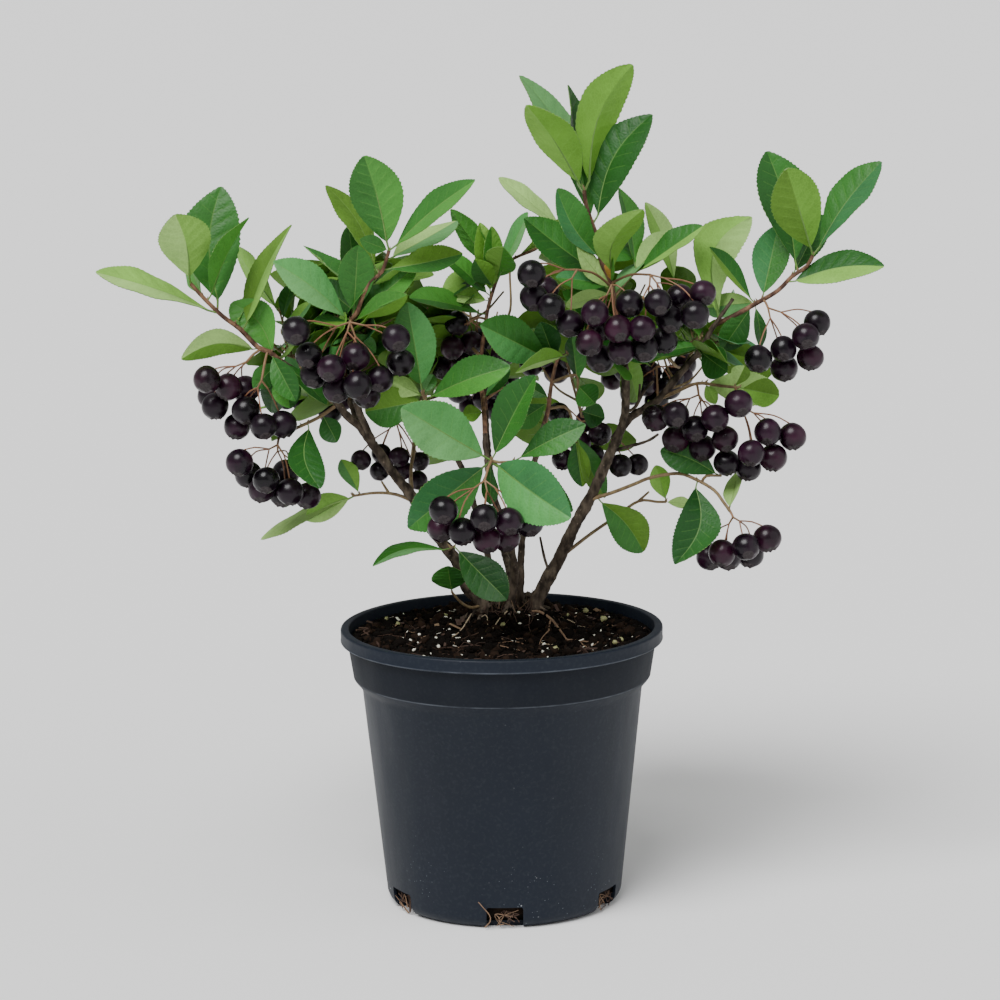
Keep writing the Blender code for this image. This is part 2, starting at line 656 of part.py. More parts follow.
def right_masses():
    mass("leader_foliage", limbs("leader_bough"),
         [(64.1, 293.4, 1.2), (62, 305, -2), (58.5, 328, -6), (54, 338, -6), (52, 350, -5), (49, 359, -4),
          (46, 368, -3), (45, 376, -3)], (1.6, 1.0),
         [(1, 16, 420, -30, 20, -1), (0.99, 70, 440, 10, 17, -1), (0.97, 37, 430, 6, 9, 1),
          (0.97, 12.5, 435, 26, 12, 1), (0.8, 80, 414.5, 2, 20, 1), (0.75, 31, 377, -8, 15, 1),
          (0.72, 75, 366, -38, 14, -1), (0.6, 63, 378, 4, 9, 1), (0.5, 38, 350, -12, 15, 1),
          (0.42, 14, 362, 4, 15, 1), (0.4, 30, 331, -16, 10, 1), (0.36, 35, 317, -22, 9, -1),
          (0.42, 60, 344, -16, 8, 1), (0.35, 76, 339, 14, 8, 1), (0.3, 67, 329, 16, 9, 1),
          (0.5, 40, 344, 22, 12, 0), (0.55, 70, 350, 24, 14, 0), (0.8, 40, 398, 30, 14, 0)],
         [(0.4, (41, 335, -26), -46, BERRY, (17.5, 333), (27.6, 316), (18.6, 321), (37.2, 307), (24.5, 325)),
          (0.3, (59, 327, -26), -50, BERRY, (50, 312.5), (62, 304), (68, 317), (47, 297), (63.6, 292.5),
           (53, 288.5), (54, 305)),
          (0.42, (79, 332, -24), -48, BERRY, (83, 317.5), (74.5, 304), (89, 309), (102, 311), (75.5, 294),
           (106, 322), (94, 320), (86, 298))])
    mass("right_tip_foliage", limbs("right_bough"),
         [(104.6, 291.8, 10), (108, 298, 10), (112, 305, 10), (122, 310, 9), (133, 316, 8), (145, 323, 7),
          (152, 330, 7), (160, 335.5, 6), (163, 341, 6)], (1.5, 1.0),
         [(1, 149, 386, -22, 26, -1), (0.85, 139, 395, 24, 20, 1), (1, 198, 389, 10, 16, 1),
          (0.72, 145, 357, 22, 18, 1), (0.75, 200, 335, -10, 11, 1), (0.2, 131, 361.5, 38, 21, -1),
          (0.5, 109.5, 346, 10, 8, 1), (0.52, 107, 314, 30, 12, 1), (0.15, 107, 356.5, 26, 8, 1),
          (0.1, 119, 281, -16, 12, 1), (0.5, 136, 293, 4, 8, 1), (0.48, 116, 292, 10, 15, 1),
          (0.03, 65, 268, 30, 16, 1),
          (0.05, 80, 290, 4, 9, 1), (0.02, 78, 286, 24, 6, 1), (0.1, 76, 369, 40, 11, -1),
          (0.6, 128, 352, 44, 15, 0), (0.8, 168, 362, 40, 15, 0)],
         [(0.56, (140, 314, 2), -12, BERRY, (159.5, 299), (148, 292.5), (135, 287.5), (165.5, 306),
           (162, 288), (148.5, 282.5))])
    mass("right_middle_foliage", limbs("right_bough"),
         [(83, 266.8, 15), (93, 271, 12), (103.5, 275, 8), (116, 273.5, 4), (125, 272.5, 2)], (1.1, 0.8),
         [(1, 146, 268, 2, 15, 1), (0.95, 128, 284, 0, 10, -1), (0.6, 113, 264, 6, 7, -1)],
         [(0.5, (104, 269, -4), -24, BERRY, (92, 258.5), (112.5, 256.5), (102, 251), (92, 246),
           (81.5, 257), (117.7, 245.5), (118.5, 233), (106, 241)),
          (0.95, (127, 262, -8), -24, BERRY, (124.7, 264), (131.5, 238), (140, 249), (153, 246.5),
           (143, 235.5), (130, 230))])
    mass("right_low_foliage", limbs("right_stem"),
         [(48.5, 214.5, 16), (59.5, 218, 12), (70, 222, 7), (79, 225.5, 2), (93, 227.5, -5),
          (102, 224.5, -10), (112, 218.5, -16), (117, 212, -19), (120.5, 207, -21)], (1.1, 0.8),
         [(0.03, 75, 186, 26, 17, 1), (0.72, 91.6, 179, -38, 21, 1), (0.78, 84, 240, -4, 18, 1),
          (0.99, 124, 228, 6, 9, 1)],
         [(1, (122, 204, -23), -34, BERRY, (128.8, 188), (116.5, 185), (140, 192.5), (119.5, 181),
           (131, 182), (109, 181))])
    mass("right_back_twig", limbs("right_stem"),
         [(33, 184.8, 21), (47.5, 196, 27), (60, 204.5, 31), (72.5, 213, 35), (82.5, 212.5, 38),
          (87, 212.5, 39)], (1.0, 0.7),
         [(1, 81.5, 232, 36, 11, -1), (0.99, 101, 211, 44, 6, 1)], (), [(0.76, (78, 218, 38))])


def foot_masses():
    mass("foot_foliage", limbs("left_stem"),
         [(-27.2, 187.6, 11), (-26.5, 189, 2), (-24.5, 190, -6)], (0.9, 0.7),
         [(1, 3, 161, -26, 20, 1), (0.6, -67.5, 180, -6, 6, 1)])
    mass("foot_sprout", limbs("left_stem"),
         [(-10, 158.5, 18), (-16, 157, 12), (-20.5, 160, 7), (-23.5, 166, 3)], (0.9, 0.7),
         [(1, -27, 180, -4, 15, 1)])


def rear_masses():
    """The far side, which the front does not show: grown by rule, inside what the front hides."""
    mass("rear_left_foliage", limbs("rear_left_stem"),
         [(-77.6, 266.8, 97.5), (-80, 285, 104), (-78, 302, 110), (-74, 320, 114)], (1.3, 0.9), (),
         [(0.4, (-82, 292, 122), 128, 6.3, (-90, 282), (-76, 278), (-84, 270), (-68, 284), (-98, 274))],
         (), (2, 28, 4, 48, (-122, -38, 255, 350), 0.4))
    mass("rear_right_foliage", limbs("rear_right_stem"),
         [(66, 271, 101.6), (66, 290, 108), (62, 308, 114), (58, 328, 118)], (1.3, 0.9), (),
         [(0.4, (66, 300, 126), 132, 6.3, (58, 290), (72, 288), (65, 278), (80, 292), (50, 296))],
         (), (2, 28, 4, 48, (10, 112, 255, 354), 1.9))
    mass("rear_middle_foliage", limbs("rear_middle_stem"),
         [(-7, 261, 127.5), (-8, 276, 134), (-10, 292, 140), (-14, 310, 144), (-16, 326, 146)], (1.3, 0.9),
         (), [(0.35, (-8, 286, 152), 158, 6.3, (-16, 276), (0, 272), (-8, 264), (-22, 268), (8, 280))],
         (), (2, 28, 4, 48, (-62, 44, 250, 352), 2.7))
    mass("inner_left_foliage", limbs("rear_left_stem"),
         [(-47, 218.6, 73.8), (-46, 236, 78), (-42, 262, 76), (-36, 288, 74), (-30, 312, 72)], (1.1, 0.8),
         (), (), (), (2, 26, 4, 46, (-70, 8, 240, 352), 1.2))
    mass("inner_right_foliage", limbs("rear_right_stem"),
         [(49.2, 218.6, 78), (47, 238, 80), (42, 262, 78), (36, 286, 74), (33, 312, 72)], (1.1, 0.8),
         (), (), (), (2, 26, 4, 46, (0, 84, 240, 356), 3.9))
    mass("rear_far_right_foliage", limbs("rear_right_stem"),
         [(63.8, 255.4, 95.8), (76, 262, 96), (84, 267.5, 94), (91, 277, 92), (99, 287, 90),
          (104, 300, 88)], (1.1, 0.8), (), (), (), (2, 24, 4, 44, (70, 150, 255, 338), 0.9))
    mass("rear_far_left_foliage", limbs("rear_left_stem"),
         [(-71.5, 251.3, 91.7), (-78, 258, 90), (-85, 266, 88), (-97, 279, 84), (-107, 290, 80),
          (-112, 303, 76)], (1.1, 0.8), (), (), (), (2, 24, 4, 44, (-152, -78, 258, 338), 2.2))


def main():
    for obj in list(bpy.data.objects):
        bpy.data.objects.remove(obj)
    pot()
    ground = soil()
    FINISHED.append(ground)
    stems()
    left_masses()
    middle_masses()
    right_masses()
    foot_masses()
    rear_masses()


main()
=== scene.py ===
"""Black chokeberry shrub in fruit, in its nursery pot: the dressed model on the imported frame.

The tables are in millimetres, as they are in the solids' source. Places in the crown are given on an upright
sheet through the pot's axis, as (across, up, deep): the sheet is seen from EYE, and `deep` carries the place
along that line of sight, away from the eye.
"""
import math
import random

import bmesh
import bpy
import numpy as np
from mathutils import Matrix, Vector, noise


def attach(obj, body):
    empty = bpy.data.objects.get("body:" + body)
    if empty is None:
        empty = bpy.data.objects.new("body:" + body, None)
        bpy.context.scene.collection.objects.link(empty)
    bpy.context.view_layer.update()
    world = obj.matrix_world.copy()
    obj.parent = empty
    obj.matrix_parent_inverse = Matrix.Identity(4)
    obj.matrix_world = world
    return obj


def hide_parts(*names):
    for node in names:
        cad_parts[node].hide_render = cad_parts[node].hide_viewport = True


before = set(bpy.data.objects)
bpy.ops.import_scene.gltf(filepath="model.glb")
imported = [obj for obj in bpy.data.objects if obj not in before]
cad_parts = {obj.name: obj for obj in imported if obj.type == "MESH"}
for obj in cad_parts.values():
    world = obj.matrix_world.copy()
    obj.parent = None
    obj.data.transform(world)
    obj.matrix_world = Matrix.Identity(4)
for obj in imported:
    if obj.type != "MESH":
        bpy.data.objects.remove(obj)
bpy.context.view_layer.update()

MM = 0.001
EYE = Vector((0, -1600, 499))
UP = Vector((0, 0, 1))
GOLDEN_ANGLE = math.radians(137.5)
CHANCE = random.Random(11)

# Camera
EYE_PLACE = (-0.00013, -1.6, 0.49909)
LOOK_DOWN = 0.17605
LEAN = 0.01118
FOCAL = 3100.53 / 1000

# Light
WORLD_LIGHT = 0.4
KEY_LIGHT = 4.0
KEY_SOFTNESS = 38
KEY_FROM = (-0.45, -0.75, 1.2)
FILL_LIGHT = 0.9
FILL_SOFTNESS = 70
FILL_FROM = (1.0, -0.5, 0.45)
FLOOR_REACH = 500

# Pot
RIM_RADIUS = 85
POT_HEIGHT = 147.6
POT_WALL = 1.6
LIP_DEPTH = 7
LIP_STEP = 3.5
BAND_BOTTOM = 121.6
BAND_RADIUS = 78.5
SHOULDER_DROP = 6
SHOULDER_RADIUS = 74
FOOT_RADIUS = 62.7
CORNER_RADIUS = 7
POT_SIDES = 120
NOTCHES = 6
NOTCH_WIDTH = 19
NOTCH_HEIGHT = 12
NOTCH_REACH = 16
FOOT_RECESS = 1.2

# Soil
SOIL_DROP = 5.5
SOIL_SIDES = 120
SOIL_RING = 2.6
MOUND = Vector((7, 25))
MOUND_SPREAD = 24
MOUND_RISE = 20
CROWN_LEVEL = 150
CRUMBS = 3400
CLODS = 260
PERLITE = 75
PELLETS = 14
FLECKS = 45
CHIPS = 130

# Feet of the stems (x, y), and the headings of the roots that show there, in degrees
FEET = (
    (17, 21, (-70, -25, 20)), (-8, 19, (-110, -160, 175)), (5, 18, (-80, -125)), (10.5, 27.5, (60,)),
    (-1, 27.5, (130,)), (3, 36, (110, 150)), (8.5, 39, (80,)), (14, 36.5, (30, 65)),
)

FIBRES = 11

# Roots that lie on the soil: thickness, finish number, then their places (x, y)
LONG_ROOTS = (
    (0.8, 0, (15, 14), (20, 10), (26, 6), (30, -5), (34, -20)),
    (0.5, 0, (26, 5), (25, -4), (24.5, -14), (25, -23)),
    (0.4, 0, (25, -8), (21, -19), (19.5, -27)),
    (0.5, 0, (34, -20), (40, -23), (42, -32), (43.5, -40)),
    (0.4, 0, (40, -23), (46, -24), (50, -30), (47, -35)),
    (0.38, 2, (-16, 14), (-20, 4), (-23, -4), (-26, -12)),
    (0.4, 2, (3, 10), (-1, 2), (-5, -5)),
    (0.5, 1, (-77, 4), (-73, 10), (-70, 4), (-74, -3)),
    (0.5, 1, (-76, 16), (-71, 12), (-73, 3), (-69, -3)),
    (0.45, 1, (76, 6), (72, -2), (74, -12), (70, -18)),
    (0.35, 0, (-2, -30), (5, -36), (9, -44)),
)

# Leaves: those that the tables place are shaped one by one, those grown by rule share a few light shapes
FINE_VEINS = 8
FINE_PARTS = (0, 0.07, 0.26, 0.45, 0.64, 0.82)
FINE_STRIPS = (0.04, 0.36, 0.7, 1)
LIGHT_VEINS = 5
LIGHT_PARTS = (0, 0.5)
LIGHT_STRIPS = (0.5, 1)
LIGHT_SHAPES = 12
VEIN_SLANT = 0.2
PETIOLE = 0.09
TOOTH = 0.045
QUILT = 0.011
BLADE_THICK = 0.015
MIDRIB = 0.02
TILT = 0.22
ROLL = 0.6

# Fruit and stalks
BERRY = 7.1
BERRY_SPACING = 2.05
BERRY_SIDES = 20
BERRY_RINGS = 14
STALK = 0.42
STALK_GROUP = 3
SKINS = (0, 0, 1, 1, 2)
FOLDS = 0.09
PEDUNCLE = 0.7
FAR_SIDE = 75
BUNCH = ((-6, -9), (7, -11), (0, -18), (-13, -14), (13, -5), (-7, -22), (8, -21))

# Twigs grown by rule, and where the sky shows between them: (across, up, radius)
DEEPEST = 172
SUB_SHOOTS = 1
FREE_END = 0.5
OUTLOOK = 1.1
SHINGLED = 0.75
LEAF_CLEAR = 4
SKY_GAPS = ((-133, 334, 5), (-122, 324, 4), (-124, 302, 6), (-115, 310, 4), (-32, 329, 5), (-30, 348, 5),
            (-18, 332, 3), (1, 321, 5), (-9, 309, 5), (12, 316, 4), (9, 335, 4), (82, 341, 5), (74, 321, 4),
            (113, 329, 4), (128, 336, 6), (112, 311, 4), (90, 277, 9), (98, 282, 5), (131, 328, 5), (34, 271, 6),
            (-22, 267, 6), (60, 260, 4))


def place(across, up, deep):
    """Real place, in millimetres, of a point that the sheet shows at (across, up)."""
    reach = (deep - EYE.y) / -EYE.y
    return Vector((across * reach, deep, EYE.z + (up - EYE.z) * reach))


def sheet(point):
    """Where a real place shows on the sheet."""
    reach = (point.y - EYE.y) / -EYE.y
    return Vector((point.x / reach, EYE.z + (point.z - EYE.z) / reach))


def smooth_line(points, step):
    """Points every `step` or so along a smooth curve through the given points."""
    line = []
    ends = [2 * points[0] - points[1]] + list(points) + [2 * points[-1] - points[-2]]
    for a, b, c, d in zip(ends, ends[1:], ends[2:], ends[3:]):
        parts = max(1, round((c - b).length / step))
        for part in range(parts):
            t = part / parts
            line.append(0.5 * (2 * b + (c - a) * t + (2 * a - 5 * b + 4 * c - d) * t ** 2
                               + (3 * b - a - 3 * c + d) * t ** 3))
    line.append(points[-1].copy())
    return line


def along(line, share):
    """The place at a share of a line's length."""
    lengths = [(b - a).length for a, b in zip(line, line[1:])]
    left = share * sum(lengths)
    for a, b, length in zip(line, line[1:], lengths):
        if left <= length:
            return a.lerp(b, left / length)
        left -= length
    return line[-1].copy()


class Value:
    """A node's output that can stand in a sum: each operator adds one Math node."""

    def __init__(self, finish, socket):
        self.finish = finish
        self.socket = socket

    def sum(self, operation, first, second):
        return self.finish.node("Math", {"operation": operation}, {0: first, 1: second})

    def __add__(self, other):
        return self.sum("ADD", self, other)

    def __radd__(self, other):
        return self.sum("ADD", other, self)

    def __sub__(self, other):
        return self.sum("SUBTRACT", self, other)

    def __rsub__(self, other):
        return self.sum("SUBTRACT", other, self)

    def __mul__(self, other):
        return self.sum("MULTIPLY", self, other)

    def __rmul__(self, other):
        return self.sum("MULTIPLY", other, self)

    def __abs__(self):
        return self.finish.node("Math", {"operation": "ABSOLUTE"}, {0: self})


class Finish:
    """One material: its shader and the nodes that feed it."""

    def __init__(self, name, colour, roughness, **settings):
        self.material = bpy.data.materials.new(name)
        self.material.use_nodes = True
        self.tree = self.material.node_tree
        self.shader = self.tree.nodes["Principled BSDF"]
        self.colour = colour
        self.feed("Base Color", (*colour, 1))
        self.feed("Roughness", roughness)
        self.material.diffuse_color = (*colour, 1)
        for socket, value in settings.items():
            self.feed(socket.replace("_", " "), value)

    def put(self, socket, value):
        if isinstance(value, Value):
            self.tree.links.new(value.socket, socket)
        else:
            socket.default_value = value

    def feed(self, name, value):
        self.put(self.shader.inputs[name], value)

    def node(self, kind, settings, sockets, output=0):
        """Any node: its settings are set first, then the values or links of its sockets."""
        made = self.tree.nodes.new("ShaderNode" + kind)
        for setting, value in settings.items():
            setattr(made, setting, value)
        for socket, value in sockets.items():
            self.put(made.inputs[socket], value)
        return Value(self, made.outputs[output])

    def position(self, stretch=(1, 1, 1)):
        spot = self.node("TexCoord", {}, {}, "Object")
        return self.node("Mapping", {}, {"Vector": spot, "Scale": stretch})

    def height(self):
        """Height over the pot's underside, in millimetres."""
        split = self.node("SeparateXYZ", {}, {0: self.node("TexCoord", {}, {}, "Object")}, "Z")
        return split * 1000

    def grain(self, size_mm, detail=2, stretch=(1, 1, 1)):
        """Noise between 0 and 1 whose features are about that many millimetres across."""
        return self.node("TexNoise", {}, {"Vector": self.position(stretch), "Scale": 500 / size_mm,
                                          "Detail": detail})

    def specks(self, spacing_mm, size_mm):
        """1 on round specks scattered about that far apart, 0 elsewhere."""
        cell = self.node("TexVoronoi", {}, {"Vector": self.position(), "Scale": 1000 / spacing_mm}, "Distance")
        return self.band(cell, size_mm / spacing_mm, 0.4 * size_mm / spacing_mm)

    def band(self, value, start, end):
        """0 at and before start, 1 at and past end, in between by an even slope."""
        return self.node("MapRange", {}, {0: value, 1: start, 2: end, 3: 0.0, 4: 1.0})

    def mix(self, factor, first, second):
        """A colour from first to second; each is a colour triple or another mix."""
        pair = [(*colour, 1) if isinstance(colour, tuple) else colour for colour in (first, second)]
        return self.node("Mix", {"data_type": "RGBA"}, {0: factor, 6: pair[0], 7: pair[1]}, 2)

    def relief(self, height, strength, depth_mm):
        bump = self.node("Bump", {}, {"Height": height, "Strength": strength, "Distance": depth_mm * MM})
        self.feed("Normal", bump)


def shade(colour, factor):
    return tuple(min(1, channel * factor) for channel in colour)


def slate_plastic():
    """Matt nursery-pot plastic: cloudy and finely grained, with painted highlights along the moulding edges, painted
    shade on the band under the lip, and specks of dust.
    """
    base = (0.005, 0.0085, 0.0165)
    finish = Finish("slate plastic", base, 0.5, Specular_IOR_Level=0.22)
    cloud = finish.grain(40, 3)
    grain = finish.grain(0.9, 3)
    streak = finish.grain(6, 3, (1, 1, 0.25))
    colour = finish.mix(cloud, shade(base, 0.7), shade(base, 1.25))
    colour = finish.mix(finish.band(grain, 0.5, 0.75) * 0.22, colour, (0.03, 0.038, 0.045))
    height = finish.height()
    # Painted shade: the band under the lip is darkened where the lip's overhang shades it. The same band is also made
    # rougher further down.
    collar = finish.band(height, BAND_BOTTOM - 1, BAND_BOTTOM + 1) * (1 - finish.band(height, 139, 141))
    colour = finish.mix(collar * 0.5, colour, shade(base, 0.35))
    low = finish.band(height, 40, 4)
    # Painted highlights: pale lines along the lip's lower edge and the band's lower seam, broken up by streaks.
    edge = 1 - finish.band(abs(height - (POT_HEIGHT - LIP_DEPTH + 0.4)), 0.2, 0.5)
    seam_highlight = 1 - finish.band(abs(height - BAND_BOTTOM), 0.15, 0.5)
    highlight_streaks = finish.band(streak, 0.35, 0.65)
    colour = finish.mix(edge * (0.1 + 0.4 * highlight_streaks), colour, (0.12, 0.14, 0.17))
    colour = finish.mix(seam_highlight * (0.05 + 0.35 * highlight_streaks), colour, (0.16, 0.18, 0.21))
    where = finish.band(finish.grain(14), 0.47, 0.6) * (0.06 + low * 0.94)
    colour = finish.mix(finish.specks(2.3, 0.26) * where, colour, (0.3, 0.34, 0.38))
    colour = finish.mix(finish.specks(7.5, 0.5) * where, colour, (0.55, 0.58, 0.6))
    finish.feed("Base Color", colour)
    finish.feed("Roughness", 0.42 + 0.2 * streak + 0.2 * collar)
    finish.relief(grain, 0.35, 0.12)
    return finish


def peat(name="peat", base=(0.004, 0.0027, 0.002)):
    finish = Finish(name, base, 0.95, Specular_IOR_Level=0.08)
    colour = finish.mix(finish.grain(2.2, 3), shade(base, 0.35), shade(base, 2.1))
    colour = finish.mix(finish.band(finish.grain(9, 2), 0.55, 0.8) * 0.35, colour, (0.035, 0.02, 0.012))
    finish.feed("Base Color", colour)
    finish.relief(finish.grain(1.1, 4), 0.7, 0.8)
    return finish


def bark_finish(name, dark, light, roughness):
    """Bark: lengthwise streaks, grey patches, pale pores and a rough skin."""
    finish = Finish(name, dark, roughness, Specular_IOR_Level=0.25)
    streak = finish.grain(1.6, 4, (1, 1, 0.5))
    patch = finish.grain(9, 2)
    colour = finish.mix(finish.band(streak, 0.38, 0.66), dark, light)
    colour = finish.mix(finish.band(patch, 0.42, 0.66) * 0.55, colour, shade(dark, 1.6))
    colour = finish.mix(finish.specks(3.4, 0.5) * 0.5, colour, shade(light, 2))
    finish.feed("Base Color", colour)
    finish.relief(streak, 0.9, 0.6)
    return finish


def leaf_finish(name, colour, roughness, gloss):
    """Leaf skin: faintly cloudy, with a net of fine veins in its satin gloss."""
    finish = Finish(name, colour, roughness, Specular_IOR_Level=gloss)
    cloud = finish.grain(11, 3)
    net = finish.node("TexVoronoi", {"feature": "DISTANCE_TO_EDGE"},
                      {"Vector": finish.position(), "Scale": 1000 / 2.1}, "Distance")
    tint = finish.mix(cloud, shade(colour, 0.62), shade(colour, 1.42))
    tint = finish.mix(finish.band(net, 0.12, 0.02) * 0.25, tint, shade(colour, 1.5))
    finish.feed("Base Color", tint)
    finish.relief(net, 0.45, 0.4)
    return finish


def skin_finish(name, dark, flush):
    """Ripe fruit: nearly black, flushed with purple under a thin dull bloom."""
    finish = Finish(name, dark, 0.3, Specular_IOR_Level=0.28)
    bloom = finish.grain(6, 3)
    finish.feed("Base Color", finish.mix(finish.band(bloom, 0.35, 0.7), dark, flush))
    finish.feed("Roughness", 0.17 + 0.26 * bloom)
    finish.relief(finish.grain(0.7, 2), 0.15, 0.1)
    return finish


def plain_finish(name, colour, roughness, grain_mm=1.5):
    finish = Finish(name, colour, roughness)
    mottle = finish.grain(grain_mm, 2)
    finish.feed("Base Color", finish.mix(mottle, shade(colour, 0.6), shade(colour, 1.35)))
    finish.relief(mottle, 0.4, 0.3)
    return finish


# Leaf colours, by the plain words that the tables use. Besides the leaves' own colours, some tones paint light and
# shade: 'deep' is painted shade, 'wan' is painted back light washing a leaf out, and the bluish 'blue', 'cool' and
# 'mist' partly paint the sheen of reflected light.
# How light or dark a tone the tables give a leaf also partly paints how light falls on it.
TONES = {
    "deep": (0.008, 0.052, 0.008),
    "dark": (0.014, 0.078, 0.011),
    "mid": (0.028, 0.13, 0.018),
    "bright": (0.058, 0.22, 0.03),
    "blue": (0.035, 0.15, 0.045),
    "mist": (0.105, 0.275, 0.09),
    "olive": (0.09, 0.195, 0.024),
    "lime": (0.125, 0.29, 0.035),
    "pale": (0.185, 0.38, 0.065),
    "wan": (0.29, 0.48, 0.14),
    "cool": (0.068, 0.25, 0.062),
    "amber": (0.4, 0.22, 0.05),
}
GLOSSY = ("deep", "dark", "mid", "bright", "blue", "cool")
SPRAYS = (("dark", "mid"), ("mid", "bright"), ("mid", "cool"), ("dark", "blue"), ("bright", "olive"),
          ("olive", "lime"))
VEIN_TINT = 0.12


def tone_finishes():
    """For each tone the blade's finish and that of its veins, in the order of TONES."""
    finishes = []
    for tone, colour in TONES.items():
        gloss = 0.22 if tone in GLOSSY else 0.12
        roughness = 0.42 if tone in GLOSSY else 0.6
        finishes.append(leaf_finish("leaf " + tone, colour, roughness, gloss))
        vein = tuple((1 - VEIN_TINT) * channel + VEIN_TINT * pale for channel, pale in zip(colour, TONES["pale"]))
        finishes.append(leaf_finish("vein " + tone, vein, roughness, gloss))
    finishes.append(plain_finish("midrib", (0.11, 0.22, 0.04), 0.5))
    return finishes


def add_piece(name, mesh, finishes, replaced=()):
    """A finished piece: its place is in its mesh, and it rides with the pot."""
    for finish in finishes:
        mesh.materials.append(finish.material)
    obj = bpy.data.objects.new(name, mesh)
    bpy.context.scene.collection.objects.link(obj)
    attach(obj, "root")
    if replaced:
        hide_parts(*replaced)
    return obj


def to_mesh(bm, name, sharp_degrees=None):
    """A mesh in metres from a bmesh that was modelled in millimetres."""
    bmesh.ops.scale(bm, vec=(MM, MM, MM), verts=bm.verts)
    mesh = bpy.data.meshes.new(name)
    bm.to_mesh(mesh)
    bm.free()
    mesh.shade_smooth()
    if sharp_degrees:
        mesh.set_sharp_from_angle(angle=math.radians(sharp_degrees))
    return mesh


class Template:
    """A small shape that is repeated: its triangles, each with the number of its region."""

    def __init__(self, bm):
        bmesh.ops.triangulate(bm, faces=bm.faces)
        self.places = np.array([vert.co[:] for vert in bm.verts])
        bm.verts.index_update()
        self.corners = np.array([[vert.index for vert in face.verts] for face in bm.faces])
        self.regions = np.array([face.material_index for face in bm.faces])
        bm.free()


def repeated(name, items, sharp_degrees):
    """One mesh of many placed templates; an item is (template, matrix, finish number of each region)."""
    places = []
    corners = []
    finish_numbers = []
    count = 0
    for template, matrix, numbers in items:
        spots = np.c_[template.places, np.ones(len(template.places))] @ np.array(matrix).T
        places.append(spots[:, :3] * MM)
        corners.append(template.corners + count)
        finish_numbers.append(np.array(numbers)[template.regions])
        count += len(spots)
    places = np.concatenate(places)
    corners = np.concatenate(corners)
    mesh = bpy.data.meshes.new(name)
    mesh.vertices.add(len(places))
    mesh.vertices.foreach_set("co", places.ravel())
    mesh.loops.add(corners.size)
    mesh.loops.foreach_set("vertex_index", corners.ravel())
    mesh.polygons.add(len(corners))
    mesh.polygons.foreach_set("loop_start", np.arange(len(corners)) * 3)
    mesh.polygons.foreach_set("material_index", np.concatenate(finish_numbers))
    mesh.update(calc_edges=True)
    mesh.shade_smooth()
    mesh.set_sharp_from_angle(angle=math.radians(sharp_degrees))
    return mesh


def tube(line, radii, sides):
    """A bmesh of one tapering round limb along a line."""
    bm = bmesh.new()
    heading = (line[1] - line[0]).normalized()
    turn = UP.rotation_difference(heading)
    ring = bmesh.ops.create_circle(bm, cap_ends=True, radius=1, segments=sides)["verts"]
    stand = Matrix.LocRotScale(line[0], turn, Vector((radii[0], radii[0], radii[0])))
    bmesh.ops.transform(bm, matrix=stand, verts=ring)
    face = bm.faces[:][0]
    for spot, (here, radius) in enumerate(zip(line[1:], radii[1:]), 1):
        ahead = line[min(spot + 1, len(line) - 1)] - line[spot - 1]
        turn = heading.rotation_difference(ahead) @ turn
        heading = ahead.normalized()
        moved = Matrix.LocRotScale(here, turn, Vector((radius, radius, radius)))
        grown = bmesh.ops.extrude_face_region(bm, geom=[face])["geom"]
        if spot > 1:
            bmesh.ops.delete(bm, geom=[face], context="FACES_ONLY")
        face = [part for part in grown if isinstance(part, bmesh.types.BMFace)][0]
        bmesh.ops.transform(bm, matrix=moved @ stand.inverted(), verts=face.verts[:])
        stand = moved
    bmesh.ops.recalc_face_normals(bm, faces=bm.faces)
    return bm


def taper(line, start, end, flare=0.0):
    """Radii along a line: an even taper, and a root flare that dies out over the first fifth."""
    count = len(line) - 1
    return [start + (end - start) * spot / count + flare * max(0, 1 - 5 * spot / count) ** 2
            for spot in range(count + 1)]


def gathered(parts, name, sharp_degrees):
    """Joins (bmesh, finish number) parts into one mesh."""
    whole = bmesh.new()
    for part, number in parts:
        for face in part.faces:
            face.material_index = number
        mesh = bpy.data.meshes.new("part")
        part.to_mesh(mesh)
        part.free()
        whole.from_mesh(mesh)
        bpy.data.meshes.remove(mesh)
    return to_mesh(whole, name, sharp_degrees)


def turned(profile, sides):
    """A bmesh turned round the upright axis from a profile of (radius, height)."""
    bm = bmesh.new()
    verts = [bm.verts.new((radius, 0, height)) for radius, height in profile]
    edges = [bm.edges.new(pair) for pair in zip(verts, verts[1:])]
    bmesh.ops.spin(bm, geom=verts + edges, axis=UP, cent=(0, 0, 0), angle=math.tau, steps=sides,
                   use_merge=True)
    bmesh.ops.remove_doubles(bm, verts=bm.verts, dist=0.001)
    bmesh.ops.recalc_face_normals(bm, faces=bm.faces)
    return bm


def arc(centre, radius, start, end, steps):
    """Profile points on an arc, angles in degrees from +radius towards +height."""
    points = []
    for step in range(steps + 1):
        angle = math.radians(start + (end - start) * step / steps)
        points.append((centre[0] + radius * math.cos(angle), centre[1] + radius * math.sin(angle)))
    return points


def pot_outline():
    """Outer profile of the wall from the underside's edge up to the underside of the lip."""
    corner = arc((FOOT_RADIUS - CORNER_RADIUS, CORNER_RADIUS), CORNER_RADIUS, -90, 0, 10)
    shoulder = [(SHOULDER_RADIUS, BAND_BOTTOM - SHOULDER_DROP), (SHOULDER_RADIUS + 1.6, BAND_BOTTOM - 3.6),
                (BAND_RADIUS - 0.5, BAND_BOTTOM - 0.8), (BAND_RADIUS, BAND_BOTTOM)]
    return corner + shoulder + [(RIM_RADIUS - LIP_STEP, POT_HEIGHT - LIP_DEPTH)]


